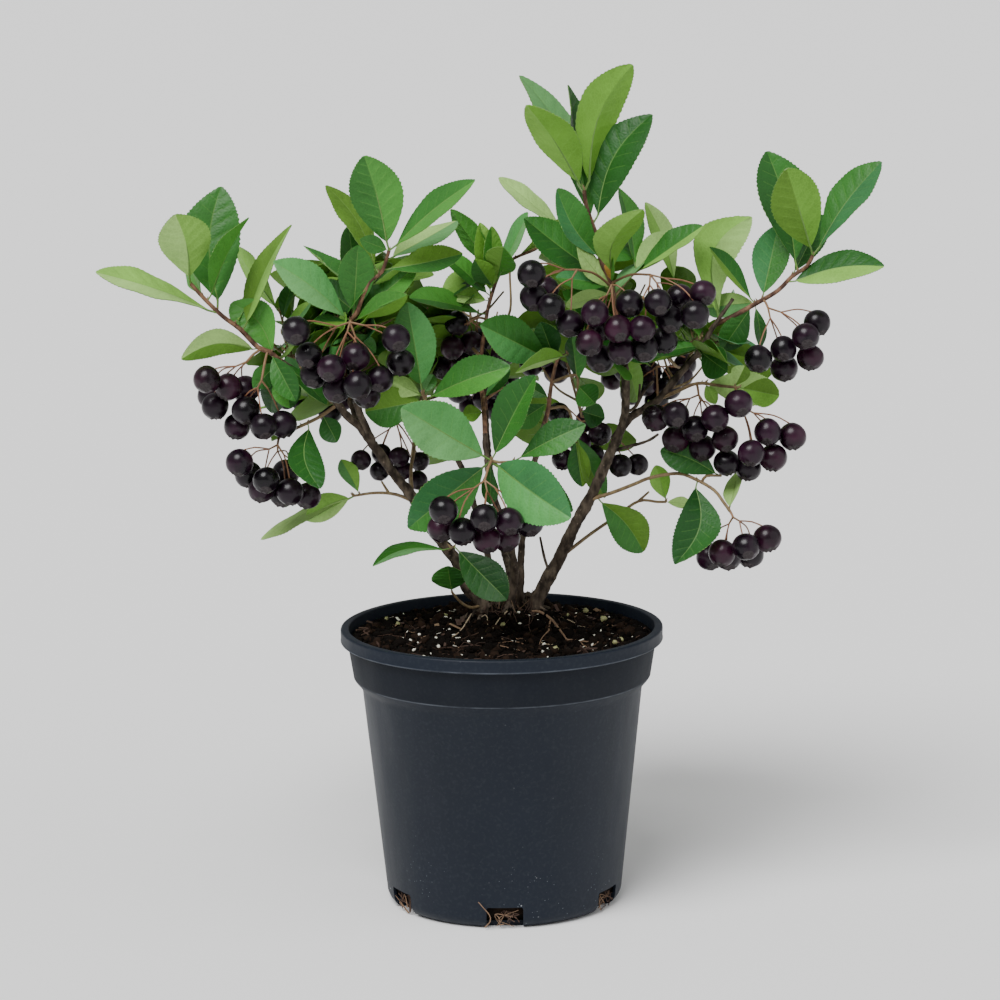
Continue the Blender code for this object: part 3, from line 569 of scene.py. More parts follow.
def pot():
    """The pot, turned from its profile, with a beaded lip, a shallow foot recess and cut drain notches."""
    outline = pot_outline()
    low = POT_HEIGHT - LIP_DEPTH
    lip = ([(RIM_RADIUS - 0.7, low - 0.1)] + arc((RIM_RADIUS - 0.5, low + 0.6), 0.6, -60, 0, 3)
           + [(RIM_RADIUS - 0.15, low + 1.2)] + arc((RIM_RADIUS - 1.1, POT_HEIGHT - 1.1), 1.1, 0, 90, 5)
           + arc((RIM_RADIUS - LIP_STEP - 0.2, POT_HEIGHT - 0.7), 0.7, 90, 180, 4))
    inside = [(radius - POT_WALL, height) for radius, height in reversed(outline[10:])]
    floor = [(FOOT_RADIUS - CORNER_RADIUS, POT_WALL + FOOT_RECESS), (0, POT_WALL + FOOT_RECESS)]
    foot = [(0, FOOT_RECESS), (38, FOOT_RECESS), (39.5, 0)]
    bm = turned(foot + outline + lip + inside + floor, POT_SIDES)
    obj = bpy.data.objects.new("cutting blank", to_mesh(bm, "pot"))
    bpy.context.scene.collection.objects.link(obj)
    cutters = []
    for number in range(NOTCHES):
        block = bmesh.new()
        bmesh.ops.create_cube(block, size=1)
        bmesh.ops.scale(block, vec=(NOTCH_WIDTH, NOTCH_REACH, 2 * NOTCH_HEIGHT), verts=block.verts)
        upright = [edge for edge in block.edges if abs(edge.verts[0].co.x - edge.verts[1].co.x) < 1
                   and abs(edge.verts[0].co.z - edge.verts[1].co.z) < 1 and edge.verts[0].co.z > 0]
        bmesh.ops.bevel(block, geom=upright, offset=1.2, segments=3, profile=0.5, affect="EDGES", material=-1)
        bmesh.ops.translate(block, vec=(0, -FOOT_RADIUS, 0), verts=block.verts)
        turn = Matrix.Rotation(math.tau * number / NOTCHES, 3, "Z")
        bmesh.ops.rotate(block, cent=(0, 0, 0), matrix=turn, verts=block.verts)
        cutter = bpy.data.objects.new("notch", to_mesh(block, "notch"))
        bpy.context.scene.collection.objects.link(cutter)
        cutters.append(cutter)
        cut = obj.modifiers.new("notch", "BOOLEAN")
        cut.operation = "DIFFERENCE"
        cut.object = cutter
    depsgraph = bpy.context.evaluated_depsgraph_get()
    mesh = bpy.data.meshes.new_from_object(obj.evaluated_get(depsgraph))
    for spent in cutters + [obj]:
        bpy.data.objects.remove(spent)
    mesh.name = "pot"
    mesh.materials.clear()
    mesh.shade_smooth()
    mesh.set_sharp_from_angle(angle=math.radians(32))
    add_piece("nursery_pot", mesh, [slate_plastic()], ["pot"])


def ground(x, y):
    """Height of the soil's surface, in millimetres."""
    top = POT_HEIGHT - SOIL_DROP
    away = (Vector((x, y)) - MOUND).length
    height = min(CROWN_LEVEL, top + MOUND_RISE * math.exp(-(away / MOUND_SPREAD) ** 2))
    spot = Vector((x, y, 0))
    return height + 1.6 * noise.noise(spot * 0.11) + 1.1 * noise.noise(spot * 0.35)


def soil_edge():
    """Radius of the soil's surface, just inside the wall."""
    outline = pot_outline()
    top = POT_HEIGHT - SOIL_DROP
    share = (top - BAND_BOTTOM) / (POT_HEIGHT - LIP_DEPTH - BAND_BOTTOM)
    return BAND_RADIUS + min(1, share) * (outline[-1][0] - BAND_RADIUS) - POT_WALL - 0.3


def soil():
    """The root ball, with a rough surface; the crumbs, perlite, pellets, bark chips and rootlets on it are laid by
    litter().
    """
    outline = [(radius - POT_WALL - 0.3, height) for radius, height in pot_outline()[10:-1]]
    outline[0] = (outline[0][0], outline[0][1] + 1)
    floor = POT_WALL + FOOT_RECESS + 0.3
    base = [(0, floor), (FOOT_RADIUS - CORNER_RADIUS - POT_WALL, floor)]
    wall = []
    for (low_radius, low), (high_radius, high) in zip(outline, outline[1:]):
        parts = max(1, round((high - low) / 6))
        wall += [(low_radius + (high_radius - low_radius) * part / parts, low + (high - low) * part / parts)
                 for part in range(parts)]
    edge = soil_edge()
    rings = math.floor(edge / SOIL_RING)
    top = [(edge * (1 - ring / rings), POT_HEIGHT - SOIL_DROP) for ring in range(rings + 1)]
    bm = turned(base + wall + [outline[-1]] + top, SOIL_SIDES)
    for vert in bm.verts:
        x, y, z = vert.co
        radius = math.hypot(x, y)
        if z > POT_HEIGHT - SOIL_DROP - 0.01 and radius < edge - 1:
            vert.co.z = ground(x, y)
        elif floor < z < 30 and radius > 20:
            vert.co *= 1 - 0.014 * (0.5 + noise.noise(vert.co * 0.5)) * Vector((1, 1, 0)).length / 1.414
    add_piece("soil_ball", to_mesh(bm, "soil"), [peat()], ["soil"])


def lump(roundness, phase):
    """A crumb's template: a knobbly little ball."""
    bm = bmesh.new()
    bmesh.ops.create_icosphere(bm, subdivisions=1, radius=1)
    for vert in bm.verts:
        vert.co *= roundness + (1 - roundness) * 2 * (0.5 + noise.noise(vert.co * 1.3 + Vector((phase, 0, 0))))
    return Template(bm)


def chip():
    """A bark chip's template: a thin split flake."""
    bm = bmesh.new()
    bmesh.ops.create_cube(bm, size=1)
    bmesh.ops.scale(bm, vec=(2, 0.8, 0.22), verts=bm.verts)
    bmesh.ops.bevel(bm, geom=bm.edges[:], offset=0.07, segments=1, profile=0.5, affect="EDGES", material=-1)
    for vert in bm.verts:
        vert.co.z += 0.16 * vert.co.x ** 2
        vert.co.y += 0.16 * math.sin(2.2 * vert.co.x)
    return Template(bm)


def strewn(count, low, high, flat, sink, reach=None):
    """Random placings on the soil: sizes from low to high, lying flat or tumbled."""
    edge = (reach or soil_edge()) - 1.5
    for _ in range(count):
        size = low + (high - low) * CHANCE.random() ** 1.8
        radius = (edge - size) * math.sqrt(CHANCE.random())
        angle = CHANCE.uniform(0, math.tau)
        x, y = radius * math.cos(angle), radius * math.sin(angle)
        lean = flat if CHANCE.random() < 0.8 else 1.2
        turn = (Matrix.Rotation(CHANCE.uniform(0, math.tau), 4, "Z")
                @ Matrix.Rotation(CHANCE.uniform(-lean, lean), 4, "X")
                @ Matrix.Rotation(CHANCE.uniform(-lean, lean), 4, "Y"))
        squash = Matrix.Diagonal((size, size * CHANCE.uniform(0.6, 1), size * CHANCE.uniform(0.5, 0.95), 1))
        yield Matrix.Translation((x, y, ground(x, y) + sink * size)) @ turn @ squash


def litter():
    """What lies on the soil."""
    lumps = [lump(0.55, phase) for phase in range(5)]
    grains = [lump(0.8, phase + 9) for phase in range(3)]
    items = [(CHANCE.choice(lumps), matrix, (CHANCE.choice((0, 0, 0, 1)),))
             for matrix in strewn(CRUMBS, 0.6, 2.4, 1.5, 0.25)]
    items += [(CHANCE.choice(lumps), matrix, (CHANCE.choice((0, 0, 1)),))
              for matrix in strewn(CLODS, 2.2, 4.6, 0.7, 0.1)]
    crumbs = [peat("peat crumbs", (0.0036, 0.0025, 0.0019)), peat("brown crumbs", (0.013, 0.0075, 0.0048))]
    add_piece("soil_crumbs", repeated("crumbs", items, 180), crumbs)
    flake = chip()
    items = [(CHANCE.choice(grains), matrix, (0,)) for matrix in strewn(PERLITE, 0.6, 1.5, 0.6, 1.0)]
    items += [(CHANCE.choice(grains), matrix, (1,)) for matrix in strewn(PELLETS, 1.5, 2.5, 0.4, 0.8)]
    items += [(flake, matrix, (0,)) for matrix in strewn(FLECKS, 0.6, 1.7, 0.5, 1.5)]
    white = [plain_finish("perlite", (0.68, 0.66, 0.56), 0.8), plain_finish("feed pellets", (0.27, 0.27, 0.12), 0.6)]
    add_piece("perlite_and_pellets", repeated("perlite", items, 60), white)
    items = [(flake, matrix, (CHANCE.choice((0, 0, 0, 1)),)) for matrix in strewn(CHIPS, 0.7, 3.8, 0.45, 0.5)]
    chips = [plain_finish("bark chips", (0.042, 0.02, 0.012), 0.85),
             plain_finish("pale chips", (0.2, 0.125, 0.07), 0.85)]
    add_piece("bark_chips", repeated("chips", items, 35), chips)
    rootlets()


def rootlet(start, heading, long, thick, lift):
    """A thin root that wanders over the soil."""
    points = []
    spot = Vector(start)
    aim = heading
    for number in range(6):
        rise = lift * math.sin(math.pi * number / 5)
        points.append(Vector((spot.x, spot.y, ground(spot.x, spot.y) + 0.6 + rise)))
        aim += CHANCE.uniform(-0.7, 0.7)
        spot += Vector((math.cos(aim), math.sin(aim))) * long / 5
    line = smooth_line(points, 2)
    return tube(line, taper(line, thick, thick * 0.35), 4)


def fibre(foot):
    """A short fibre of the collar, from the soil up to the foot of a stem."""
    angle = CHANCE.uniform(0, math.tau)
    aim = Vector((math.cos(angle), math.sin(angle)))
    points = []
    for out, over in ((CHANCE.uniform(6, 10), 0), (CHANCE.uniform(4, 6), CHANCE.uniform(1, 3)),
                      (CHANCE.uniform(2.4, 3.4), CHANCE.uniform(4, 9))):
        x, y = foot + out * aim
        points.append(Vector((x, y, ground(x, y) + over)))
        aim.rotate(Matrix.Rotation(CHANCE.uniform(-0.5, 0.5), 2))
    line = smooth_line(points, 2)
    return tube(line, taper(line, 0.3, 0.16), 4)


def rootlets():
    """Fine roots: some run down from the crown, some lie loose, and some show in the drain notches."""
    parts = [(fibre(Vector(foot[:2])), CHANCE.choice((1, 1, 1, 0))) for foot in FEET for _ in range(FIBRES)]
    for number in range(9):
        aim = -math.pi / 2 + CHANCE.uniform(-1.9, 1.9)
        start = MOUND + Vector((math.cos(aim), math.sin(aim))) * 11
        parts.append((rootlet(start, aim, CHANCE.uniform(10, 24), 0.42, 1.4), 1))
    for thick, number, *spots in LONG_ROOTS:
        line = smooth_line([Vector((x, y, ground(x, y) + 1.6)) for x, y in spots], 2)
        parts.append((tube(line, taper(line, thick, thick * 0.6), 6), number))
    for number in range(34):
        radius = 70 * math.sqrt(CHANCE.random())
        angle = CHANCE.uniform(0, math.tau)
        start = Vector((math.cos(angle), math.sin(angle))) * radius
        length = min(CHANCE.uniform(6, 17), 76 - radius)
        parts.append((rootlet(start, CHANCE.uniform(0, math.tau), length, 0.28, 0.9), CHANCE.choice((0, 1, 1, 2))))
    for number in range(NOTCHES):
        turn = Matrix.Rotation(math.tau * number / NOTCHES, 4, "Z")
        for _ in range(9):
            points = [turn @ Vector((CHANCE.uniform(-8, 8), -FOOT_RADIUS + CHANCE.uniform(0.6, 2.4),
                                     CHANCE.uniform(1, 11))) for _ in range(3)]
            line = smooth_line(points, 2)
            parts.append((tube(line, taper(line, 0.26, 0.14), 4), CHANCE.choice((1, 1, 1, 0))))
    stray = [(-13.6, -63.9, 15.6), (-11, -63.9, 12.4), (-8, -63.6, 8.5), (-7.6, -63.2, 5), (-10.5, -62.6, 1.4)]
    line = smooth_line([Vector(spot) for spot in stray], 1.5)
    parts.append((tube(line, taper(line, 0.22, 0.34), 5), 0))
    finishes = [plain_finish("rootlet", (0.2, 0.12, 0.07), 0.8), plain_finish("brown rootlet", (0.06, 0.03, 0.018), 0.8),
                plain_finish("pale rootlet", (0.42, 0.33, 0.22), 0.75)]
    add_piece("rootlets", gathered(parts, "rootlets", 60), finishes)


def leaf_template(veins, parts, strips, bow):
    """A leaf of unit length and width: x from its root to its tip, y across, z up from the upper face.

    Rows of faces run out from the midrib along the side veins: `parts` are their places between one vein and
    the next, and `strips` are the columns' outer edges as shares of the half width. The blade curves sideways
    by `bow`. Regions: 0 to 3 are the left half's upper face and veins and lower face and veins, 4 to 7 are the
    right half's, and 8 is the midrib with its stalk.
    """
    rows = veins * len(parts)
    columns = len(strips)
    fine = columns > 2
    foot = CHANCE.uniform(1.08, 1.36)
    blunt = CHANCE.uniform(0.66, 0.82)
    fold = CHANCE.uniform(0.08, 0.32)
    arch = CHANCE.uniform(-0.06, 0.14)
    twist = CHANCE.uniform(-0.4, 0.4)
    curl = CHANCE.uniform(-0.09, 0.1)
    wave = CHANCE.uniform(0, 0.022)
    phase = CHANCE.uniform(0, 6)

    def rest(t, y):
        lift = fold * abs(y) + arch * math.sin(math.pi * t) + curl * (2 * y) ** 2
        lift += wave * math.sin(math.pi * 5 * t + phase) * (2 * y) ** 2
        turn = twist * (t - 0.3)
        aside = bow * math.sin(math.pi * t)
        return Vector((PETIOLE + (1 - PETIOLE) * t, aside + y * math.cos(turn) - lift * math.sin(turn),
                       lift * math.cos(turn) + y * math.sin(turn)))

    bm = bmesh.new()
    bmesh.ops.create_grid(bm, x_segments=rows, y_segments=2 * columns, size=1)
    for face in bm.faces:
        centre = face.calc_center_median()
        row = math.floor((centre.x + 1) / 2 * rows)
        column = math.floor(abs(centre.y) * columns)
        vein = fine and (row % len(parts) == 0 and column < columns - 1 or column == 0)
        face.material_index = (1 if vein else 0) + (4 if centre.y < 0 else 0)
    for vert in bm.verts:
        row = round((vert.co.x + 1) / 2 * rows)
        column = round(abs(vert.co.y) * columns)
        share = (0, *strips)[column]
        part = row % len(parts)
        s = (row // len(parts) + parts[part]) / veins
        t = s + VEIN_SLANT * share * (1 - 0.25 * share) * math.sin(math.pi * s)
        width = max(0.0, math.sin(math.pi * t ** foot)) ** blunt
        y = math.copysign(0.5 * share * width, vert.co.y)
        if fine and column == columns and 0 < row < rows:
            y *= 1 + TOOTH * (row % 2)
            t += 0.006 * (row % 2)
        vert.co = rest(t, y)
        between = max(0, math.sin(math.pi * (part - 0.5) / (len(parts) - 0.5)))
        vert.co.z += (QUILT if fine else 0) * between * 4 * share * (1 - share)
    bmesh.ops.remove_doubles(bm, verts=bm.verts, dist=0.002)
    bmesh.ops.recalc_face_normals(bm, faces=bm.faces)
    if sum(face.normal.z for face in bm.faces) < 0:
        bmesh.ops.reverse_faces(bm, faces=bm.faces)
    bmesh.ops.solidify(bm, geom=bm.faces[:], thickness=BLADE_THICK)
    bmesh.ops.recalc_face_normals(bm, faces=bm.faces)
    for face in bm.faces:
        if fine and abs(face.normal.z) < 0.4:
            face.material_index = 8
        elif face.normal.z < 0:
            face.material_index += 2
    steps = 9 if fine else 4
    line = [Vector((0, *rest(0, 0).yz))]
    radii = [MIDRIB]
    for step in range(steps):
        t = 0.9 * step / (steps - 1)
        radius = MIDRIB * (1 - t) + 0.002
        line.append(rest(t, 0) - Vector((0, 0, 0.55 * radius)))
        radii.append(radius)
    rib = tube(line, radii, 5 if fine else 3)
    for face in rib.faces:
        face.material_index = 8
    mesh = bpy.data.meshes.new("rib")
    rib.to_mesh(mesh)
    rib.free()
    bm.from_mesh(mesh)
    bpy.data.meshes.remove(mesh)
    return Template(bm)


def berry_template(phase):
    """A fruit of unit radius: its stalk enters at the top, and its calyx star is at the bottom."""
    bm = bmesh.new()
    bmesh.ops.create_uvsphere(bm, u_segments=BERRY_SIDES, v_segments=BERRY_RINGS, radius=1)
    first_ring = math.cos(math.pi / BERRY_RINGS)
    for face in bm.faces:
        face.material_index = 1 if face.calc_center_median().z < -0.93 else 0
    for vert in bm.verts:
        x, y, z = vert.co
        angle = math.atan2(y, x)
        if z < -0.999:
            vert.co.z = -0.84
        elif abs(z + first_ring) < 0.01:
            lobe = 0.5 + 0.5 * math.cos(5 * angle)
            out = (0.15 + 0.2 * lobe) / math.hypot(x, y)
            vert.co = Vector((x * out, y * out, -0.93 - 0.1 * lobe))
        elif z > 0.999:
            vert.co.z = 0.9
        elif z < -0.5:
            vert.co *= 1 + FOLDS * (-0.5 - z) * math.cos(5 * angle)
        vert.co += vert.co * 0.05 * noise.noise(vert.co * 0.9 + Vector((phase, 0, 0)))
        vert.co.z *= 0.97
    return Template(bm)


def bud_template():
    """A pointed bud of unit length, standing on z."""
    bm = bmesh.new()
    bmesh.ops.create_cone(bm, cap_ends=True, segments=7, radius1=0.2, radius2=0.03, depth=1)
    bmesh.ops.translate(bm, vec=(0, 0, 0.5), verts=bm.verts)
    bmesh.ops.subdivide_edges(bm, edges=[edge for edge in bm.edges if abs(edge.verts[0].co.z - edge.verts[1].co.z) > 0.5],
                              cuts=2)
    for vert in bm.verts:
        swell = 1 + 0.7 * math.sin(math.pi * min(1, vert.co.z * 1.1))
        vert.co.x *= swell
        vert.co.y *= swell
    return Template(bm)


def outlook(point):
    """The way that the crown's outside faces near a point: outwards and up."""
    out = point.xy - MOUND
    return UP + OUTLOOK * Vector((*out.normalized(), 0))


def facing(root, tip, width, side):
    """The blade's upward normal and its real width, from the width that shows."""
    axis = (tip - root).normalized()
    if side == 0:
        sky = outlook((root + tip) / 2)
        return (sky - axis * sky.dot(axis)).normalized(), width
    view = (EYE - (root + tip) / 2).normalized()
    shows = (view - axis * view.dot(axis)).normalized()
    broad = max(width, 0.42 * (tip - root).length)
    turn = math.acos(min(1, width / broad))
    edge = axis.cross(shows)
    if edge.z < 0:
        edge = -edge
    return (shows * side * math.cos(turn) + edge * math.sin(turn)).normalized(), broad


def settle(berries, deep, size):
    """Berries listed from the front: each goes back along its line of sight until it is clear."""
    settled = []
    for across, up in berries:
        back = deep
        while any((place(across, up, back) - other).length < BERRY_SPACING * size for other in settled):
            back += 1
        settled.append(place(across, up, back))
    return settled


def inside(window, point):
    """Whether a place shows in a window (left, right, low, high) of the sheet, and isn't too far back."""
    left, right, low, high = window
    shown = sheet(point)
    return left < shown.x < right and low < shown.y < high and point.y < DEEPEST


def side_shoots(line, count, long, window, phase):
    """Side twigs by rule: they leave the stem a golden angle apart and bend upwards."""
    lines = []
    for number in range(count):
        start = along(line, 0.25 + 0.65 * number / count)
        turn = phase + GOLDEN_ANGLE * number
        out = Vector((math.cos(turn), math.sin(turn), 0)) * long
        end = start + out + 0.7 * long * UP
        if inside(window, end):
            lines.append(smooth_line([start, start + 0.55 * out + 0.22 * long * UP, end], 3))
    return lines


def before_sky(root, tip):
    """Whether a leaf would show in one of the crown's gaps."""
    start = sheet(root)
    way = sheet(tip) - start
    for across, up, radius in SKY_GAPS:
        gap = Vector((across, up)) - start
        share = min(1, max(0, gap.dot(way) / way.length_squared))
        if (gap - share * way).length < radius + LEAF_CLEAR:
            return True
    return False


def spread(lines, count, long, window, phase):
    """Leaves by rule: they leave each twig a golden angle apart, reach out and up, and share a spray's tones."""
    rows = []
    for twig_number, line in enumerate(lines):
        spray = CHANCE.choice(SPRAYS)
        for number in range(count):
            share = 0.12 + 0.87 * (number + 0.5) / count
            turn = phase + 2 * twig_number + GOLDEN_ANGLE * number
            reach = long * CHANCE.uniform(0.74, 1.08)
            aim = Vector((math.cos(turn), math.sin(turn), CHANCE.uniform(-0.25, 0.45) + 0.8 * share)).normalized()
            root = along(line, share)
            sky = outlook(root).normalized()
            tip = root + (aim - SHINGLED * aim.dot(sky) * sky).normalized() * reach
            if inside(window, tip) and not before_sky(root, tip):
                rows.append((twig_number + share, *sheet(tip), tip.y, reach * CHANCE.uniform(0.42, 0.52), 0,
                             CHANCE.choice(spray)))
    return rows


def bunch(share, hub, count):
    """A fruit cluster by rule, as a row of the tables: its berries hang below its hub."""
    across, up, deep = hub
    return (share, hub, deep + 5, 6.7, *((across + x, up + y) for x, y in BUNCH[:count]))


def growing_place(lines, share):
    """A place on the stem, for a share up to 1, or on side twig 1, 2 and so on above that."""
    if share <= 1:
        return along(lines[0], share)
    return along(lines[int(share)], share % 1)


class Crown:
    """One part of the crown: what grows there, by kind, until it is made into pieces."""

    light_shapes = []
    berries = []
    bud = None

    def __init__(self, name):
        self.name = name
        self.nodes = []
        self.leaves = []
        self.fruit = []
        self.twigs = []
        self.buds = []

    def leaf(self, root, tip, width, side, tone, bow=0.0, light=False):
        """A leaf from its root to its tip; returns the way it grows.

        Seen from the front, it curves to the right of that way by `bow` of its length.
        """
        normal, broad = facing(root, tip, width, side)
        axis = tip - root
        lean = CHANCE.uniform(-ROLL, ROLL) if side == 0 else CHANCE.uniform(-TILT, TILT)
        normal = Matrix.Rotation(lean, 3, axis) @ normal
        across = normal.cross(axis).normalized()
        if light:
            shape = CHANCE.choice(Crown.light_shapes)
        else:
            shape = leaf_template(FINE_VEINS, FINE_PARTS, FINE_STRIPS, -side * bow * axis.length / broad)
        stand = Matrix((axis, across * broad, normal * broad)).transposed().to_4x4()
        # Each half takes its own tone from the table: partly the leaf's own colour, and partly painted light and
        # shade where one half is lit and the other shaded.
        left, right = (tone.split("/") * 2)[:2]
        numbers = []
        for half in (left, right):
            # Leaves grown by rule sit deep in the crown, so their undersides take the darker olive instead of pale:
            # painted shade.
            upper, lower = (half, "olive" if light else "pale") if side >= 0 else ("mid", half)
            for shown in (upper, lower):
                number = 2 * list(TONES).index(shown)
                numbers += [number, number + 1]
        numbers.append(2 * len(TONES))
        self.leaves.append((shape, Matrix.Translation(root) @ stand, numbers))
        return axis.normalized()

    def twig(self, line, start, end, number, sides=6):
        self.twigs.append((tube(line, taper(line, start, end), sides), number))

    def cluster(self, root, hub, deep, size, berries):
        """A fruit cluster: its stem forks, and each fork carries a few berries on stalks of their own."""
        knot = place(*hub)
        middle = root.lerp(knot, 0.5) + 0.08 * (knot - root).length * UP
        self.twig(smooth_line([root, middle, knot], 2.5), PEDUNCLE, PEDUNCLE * 0.9, 2)
        centres = sorted(settle(berries, deep, size), key=lambda centre: centre.x)
        for first in range(0, len(centres), STALK_GROUP):
            group = centres[first:first + STALK_GROUP]
            middle = sum(group, Vector()) / len(group) + size * UP
            fork = knot.lerp(middle, 0.3) + 0.5 * UP
            self.twig(smooth_line([knot, fork], 3), PEDUNCLE * 0.8, STALK * 1.1, 2, 5)
            for centre in group:
                self.berry(fork, centre, size)

    def berry(self, fork, centre, size):
        """One fruit, hanging a little to the front, on its stalk from the fork."""
        outward = CHANCE.uniform(0.4, 1.7) * (1 if centre.y > FAR_SIDE else -1)
        hang = Vector((CHANCE.uniform(-0.5, 0.5), outward, -1))
        hang = (hang + 0.3 * (centre - fork).normalized()).normalized()
        turn = (-UP).rotation_difference(hang) @ Matrix.Rotation(CHANCE.uniform(0, 6), 3, "Z").to_quaternion()
        radius = size * CHANCE.uniform(0.98, 1.05)
        stand = Matrix.LocRotScale(centre, turn, Vector((radius,) * 3))
        self.fruit.append((CHANCE.choice(Crown.berries), stand, (CHANCE.choice(SKINS), 3)))
        top = centre - hang * 0.9 * radius
        bend = fork.lerp(top, 0.55) - hang * 0.1 * (top - fork).length
        self.twig(smooth_line([fork, bend, top], 3), STALK, STALK * 0.95, 3, 5)

    def mass(self, name, route, thick, leaves=(), clusters=(), branches=(), rule=None):
        """One mass, or a growth with no solid of its own: its stem, side twigs, leaves and fruit clusters."""
        if name:
            self.nodes.append(name)
        line = smooth_line([place(*spot) for spot in route], 3)
        self.twig(line, thick[0], FREE_END if rule else thick[1], 0 if thick[0] > 1.2 else 1, 8)
        lines = [line]
        for share, *spots in branches:
            lines.append(smooth_line([along(line, share)] + [place(*spot) for spot in spots], 3))
            self.twig(lines[-1], 0.9, 0.6, 1)
        for row in leaves:
            self.table_leaf(lines, *row)
        if rule:
            self.add_bud(line[-1], line[-1] - line[-2], 3.4)
            shoots, shoot_long, count, long, window, phase = rule
            grown = [line]
            bearers = [0]
            for shoot in side_shoots(line, shoots, shoot_long, window, phase):
                subs = side_shoots(shoot, SUB_SHOOTS, shoot_long * 0.6, window, phase + 1)
                bearers += [len(grown)] * (1 + len(subs))
                grown += [shoot] + subs
            rows = spread(grown, count, long, window, phase)
            carrying = {int(row[0]) for row in rows}
            carrying |= {bearers[number] for number in carrying}
            for number in sorted(carrying - {0}):
                self.twig(grown[number], 0.8, 0.5, 1, 5)
            for row in rows:
                self.table_leaf(grown, *row, light=True)
        for share, hub, deep, size, *berries in clusters:
            self.cluster(growing_place(lines, share), hub, deep, size, berries)

    def table_leaf(self, lines, share, across, up, deep, width, side, tone, bow=0.0, light=False):
        """A leaf from its row, with the bud that sits over its stalk."""
        root = growing_place(lines, share)
        axis = self.leaf(root, place(across, up, deep), width, side, tone, bow, light)
        self.add_bud(root, axis + 1.5 * UP, CHANCE.uniform(2, 3.2))

    def add_bud(self, root, way, size):
        turn = UP.rotation_difference(way.normalized())
        self.buds.append((Crown.bud, Matrix.LocRotScale(root, turn, Vector((size,) * 3)), (0,)))

    def make(self, tones, fruit_finishes, twig_finishes):
        leaves = repeated(self.name + " leaves", self.leaves, 50)
        add_piece(self.name + "_leaves", leaves, tones, self.nodes)
        if self.fruit:
            fruit = repeated(self.name + " fruit", self.fruit, 70)
            add_piece(self.name + "_fruit", fruit, fruit_finishes)
        twigs = gathered(self.twigs, self.name + " twigs", 60)
        add_piece(self.name + "_twigs", twigs, twig_finishes)
        buds = repeated(self.name + " buds", self.buds, 60)
        add_piece(self.name + "_buds", buds, twig_finishes[1:2])


def limb(line, start, end, foot=None, flare=0.0, stubs=()):
    """One bough or stem in its bark, with knots where buds once stood; returns its bmeshes."""
    points = [place(*spot) for spot in line]
    if foot:
        base = Vector((*foot, CROWN_LEVEL - 5))
        points = [base, base + 6 * UP] + points
    route = smooth_line(points, 1.7)
    radii = taper(route, start, end, flare)
    knots = [number * 13 + CHANCE.randrange(6) for number in range(1, len(route) // 13 + 1)]
    for knot in knots:
        for spot in range(max(0, knot - 2), min(len(radii), knot + 3)):
            radii[spot] *= 1 + 0.16 / (1 + abs(spot - knot))
    bm = tube(route, radii, 14)
    for vert in bm.verts:
        if vert.link_faces:
            rough = noise.noise(vert.co * 0.45) * 0.55 + noise.noise(vert.co * 1.3) * 0.3
            vert.co += vert.normal * rough * min(1, start / 3)
    parts = [bm]
    for stub in stubs:
        stick = smooth_line([place(*spot) for spot in stub[1:]], 2)
        thick = [radius * (1 + 0.25 * noise.noise(spot * 0.9))
                 for spot, radius in zip(stick, taper(stick, stub[0], stub[0] * 0.8))]
        parts.append(tube(stick, thick, 8))
    return parts


def flare_roots():
    """Surface roots that run from the stems' feet down into the soil."""
    roots = []
    for foot_x, foot_y, turns in FEET:
        for degrees in turns:
            aim = Vector((math.cos(math.radians(degrees)), math.sin(math.radians(degrees))))
            reach = CHANCE.uniform(11, 18)
            thick = CHANCE.uniform(1.1, 1.9)
            points = []
            for share, over in ((0, 7), (0.3, 2.6), (0.65, 0.5), (1, -1.5)):
                x, y = Vector((foot_x, foot_y)) + aim * reach * share
                aim.rotate(Matrix.Rotation(CHANCE.uniform(-0.2, 0.2), 2))
                points.append(Vector((x, y, ground(x, y) + over)))
            line = smooth_line(points, 2)
            roots.append(tube(line, taper(line, thick, thick * 0.45), 8))
    return roots


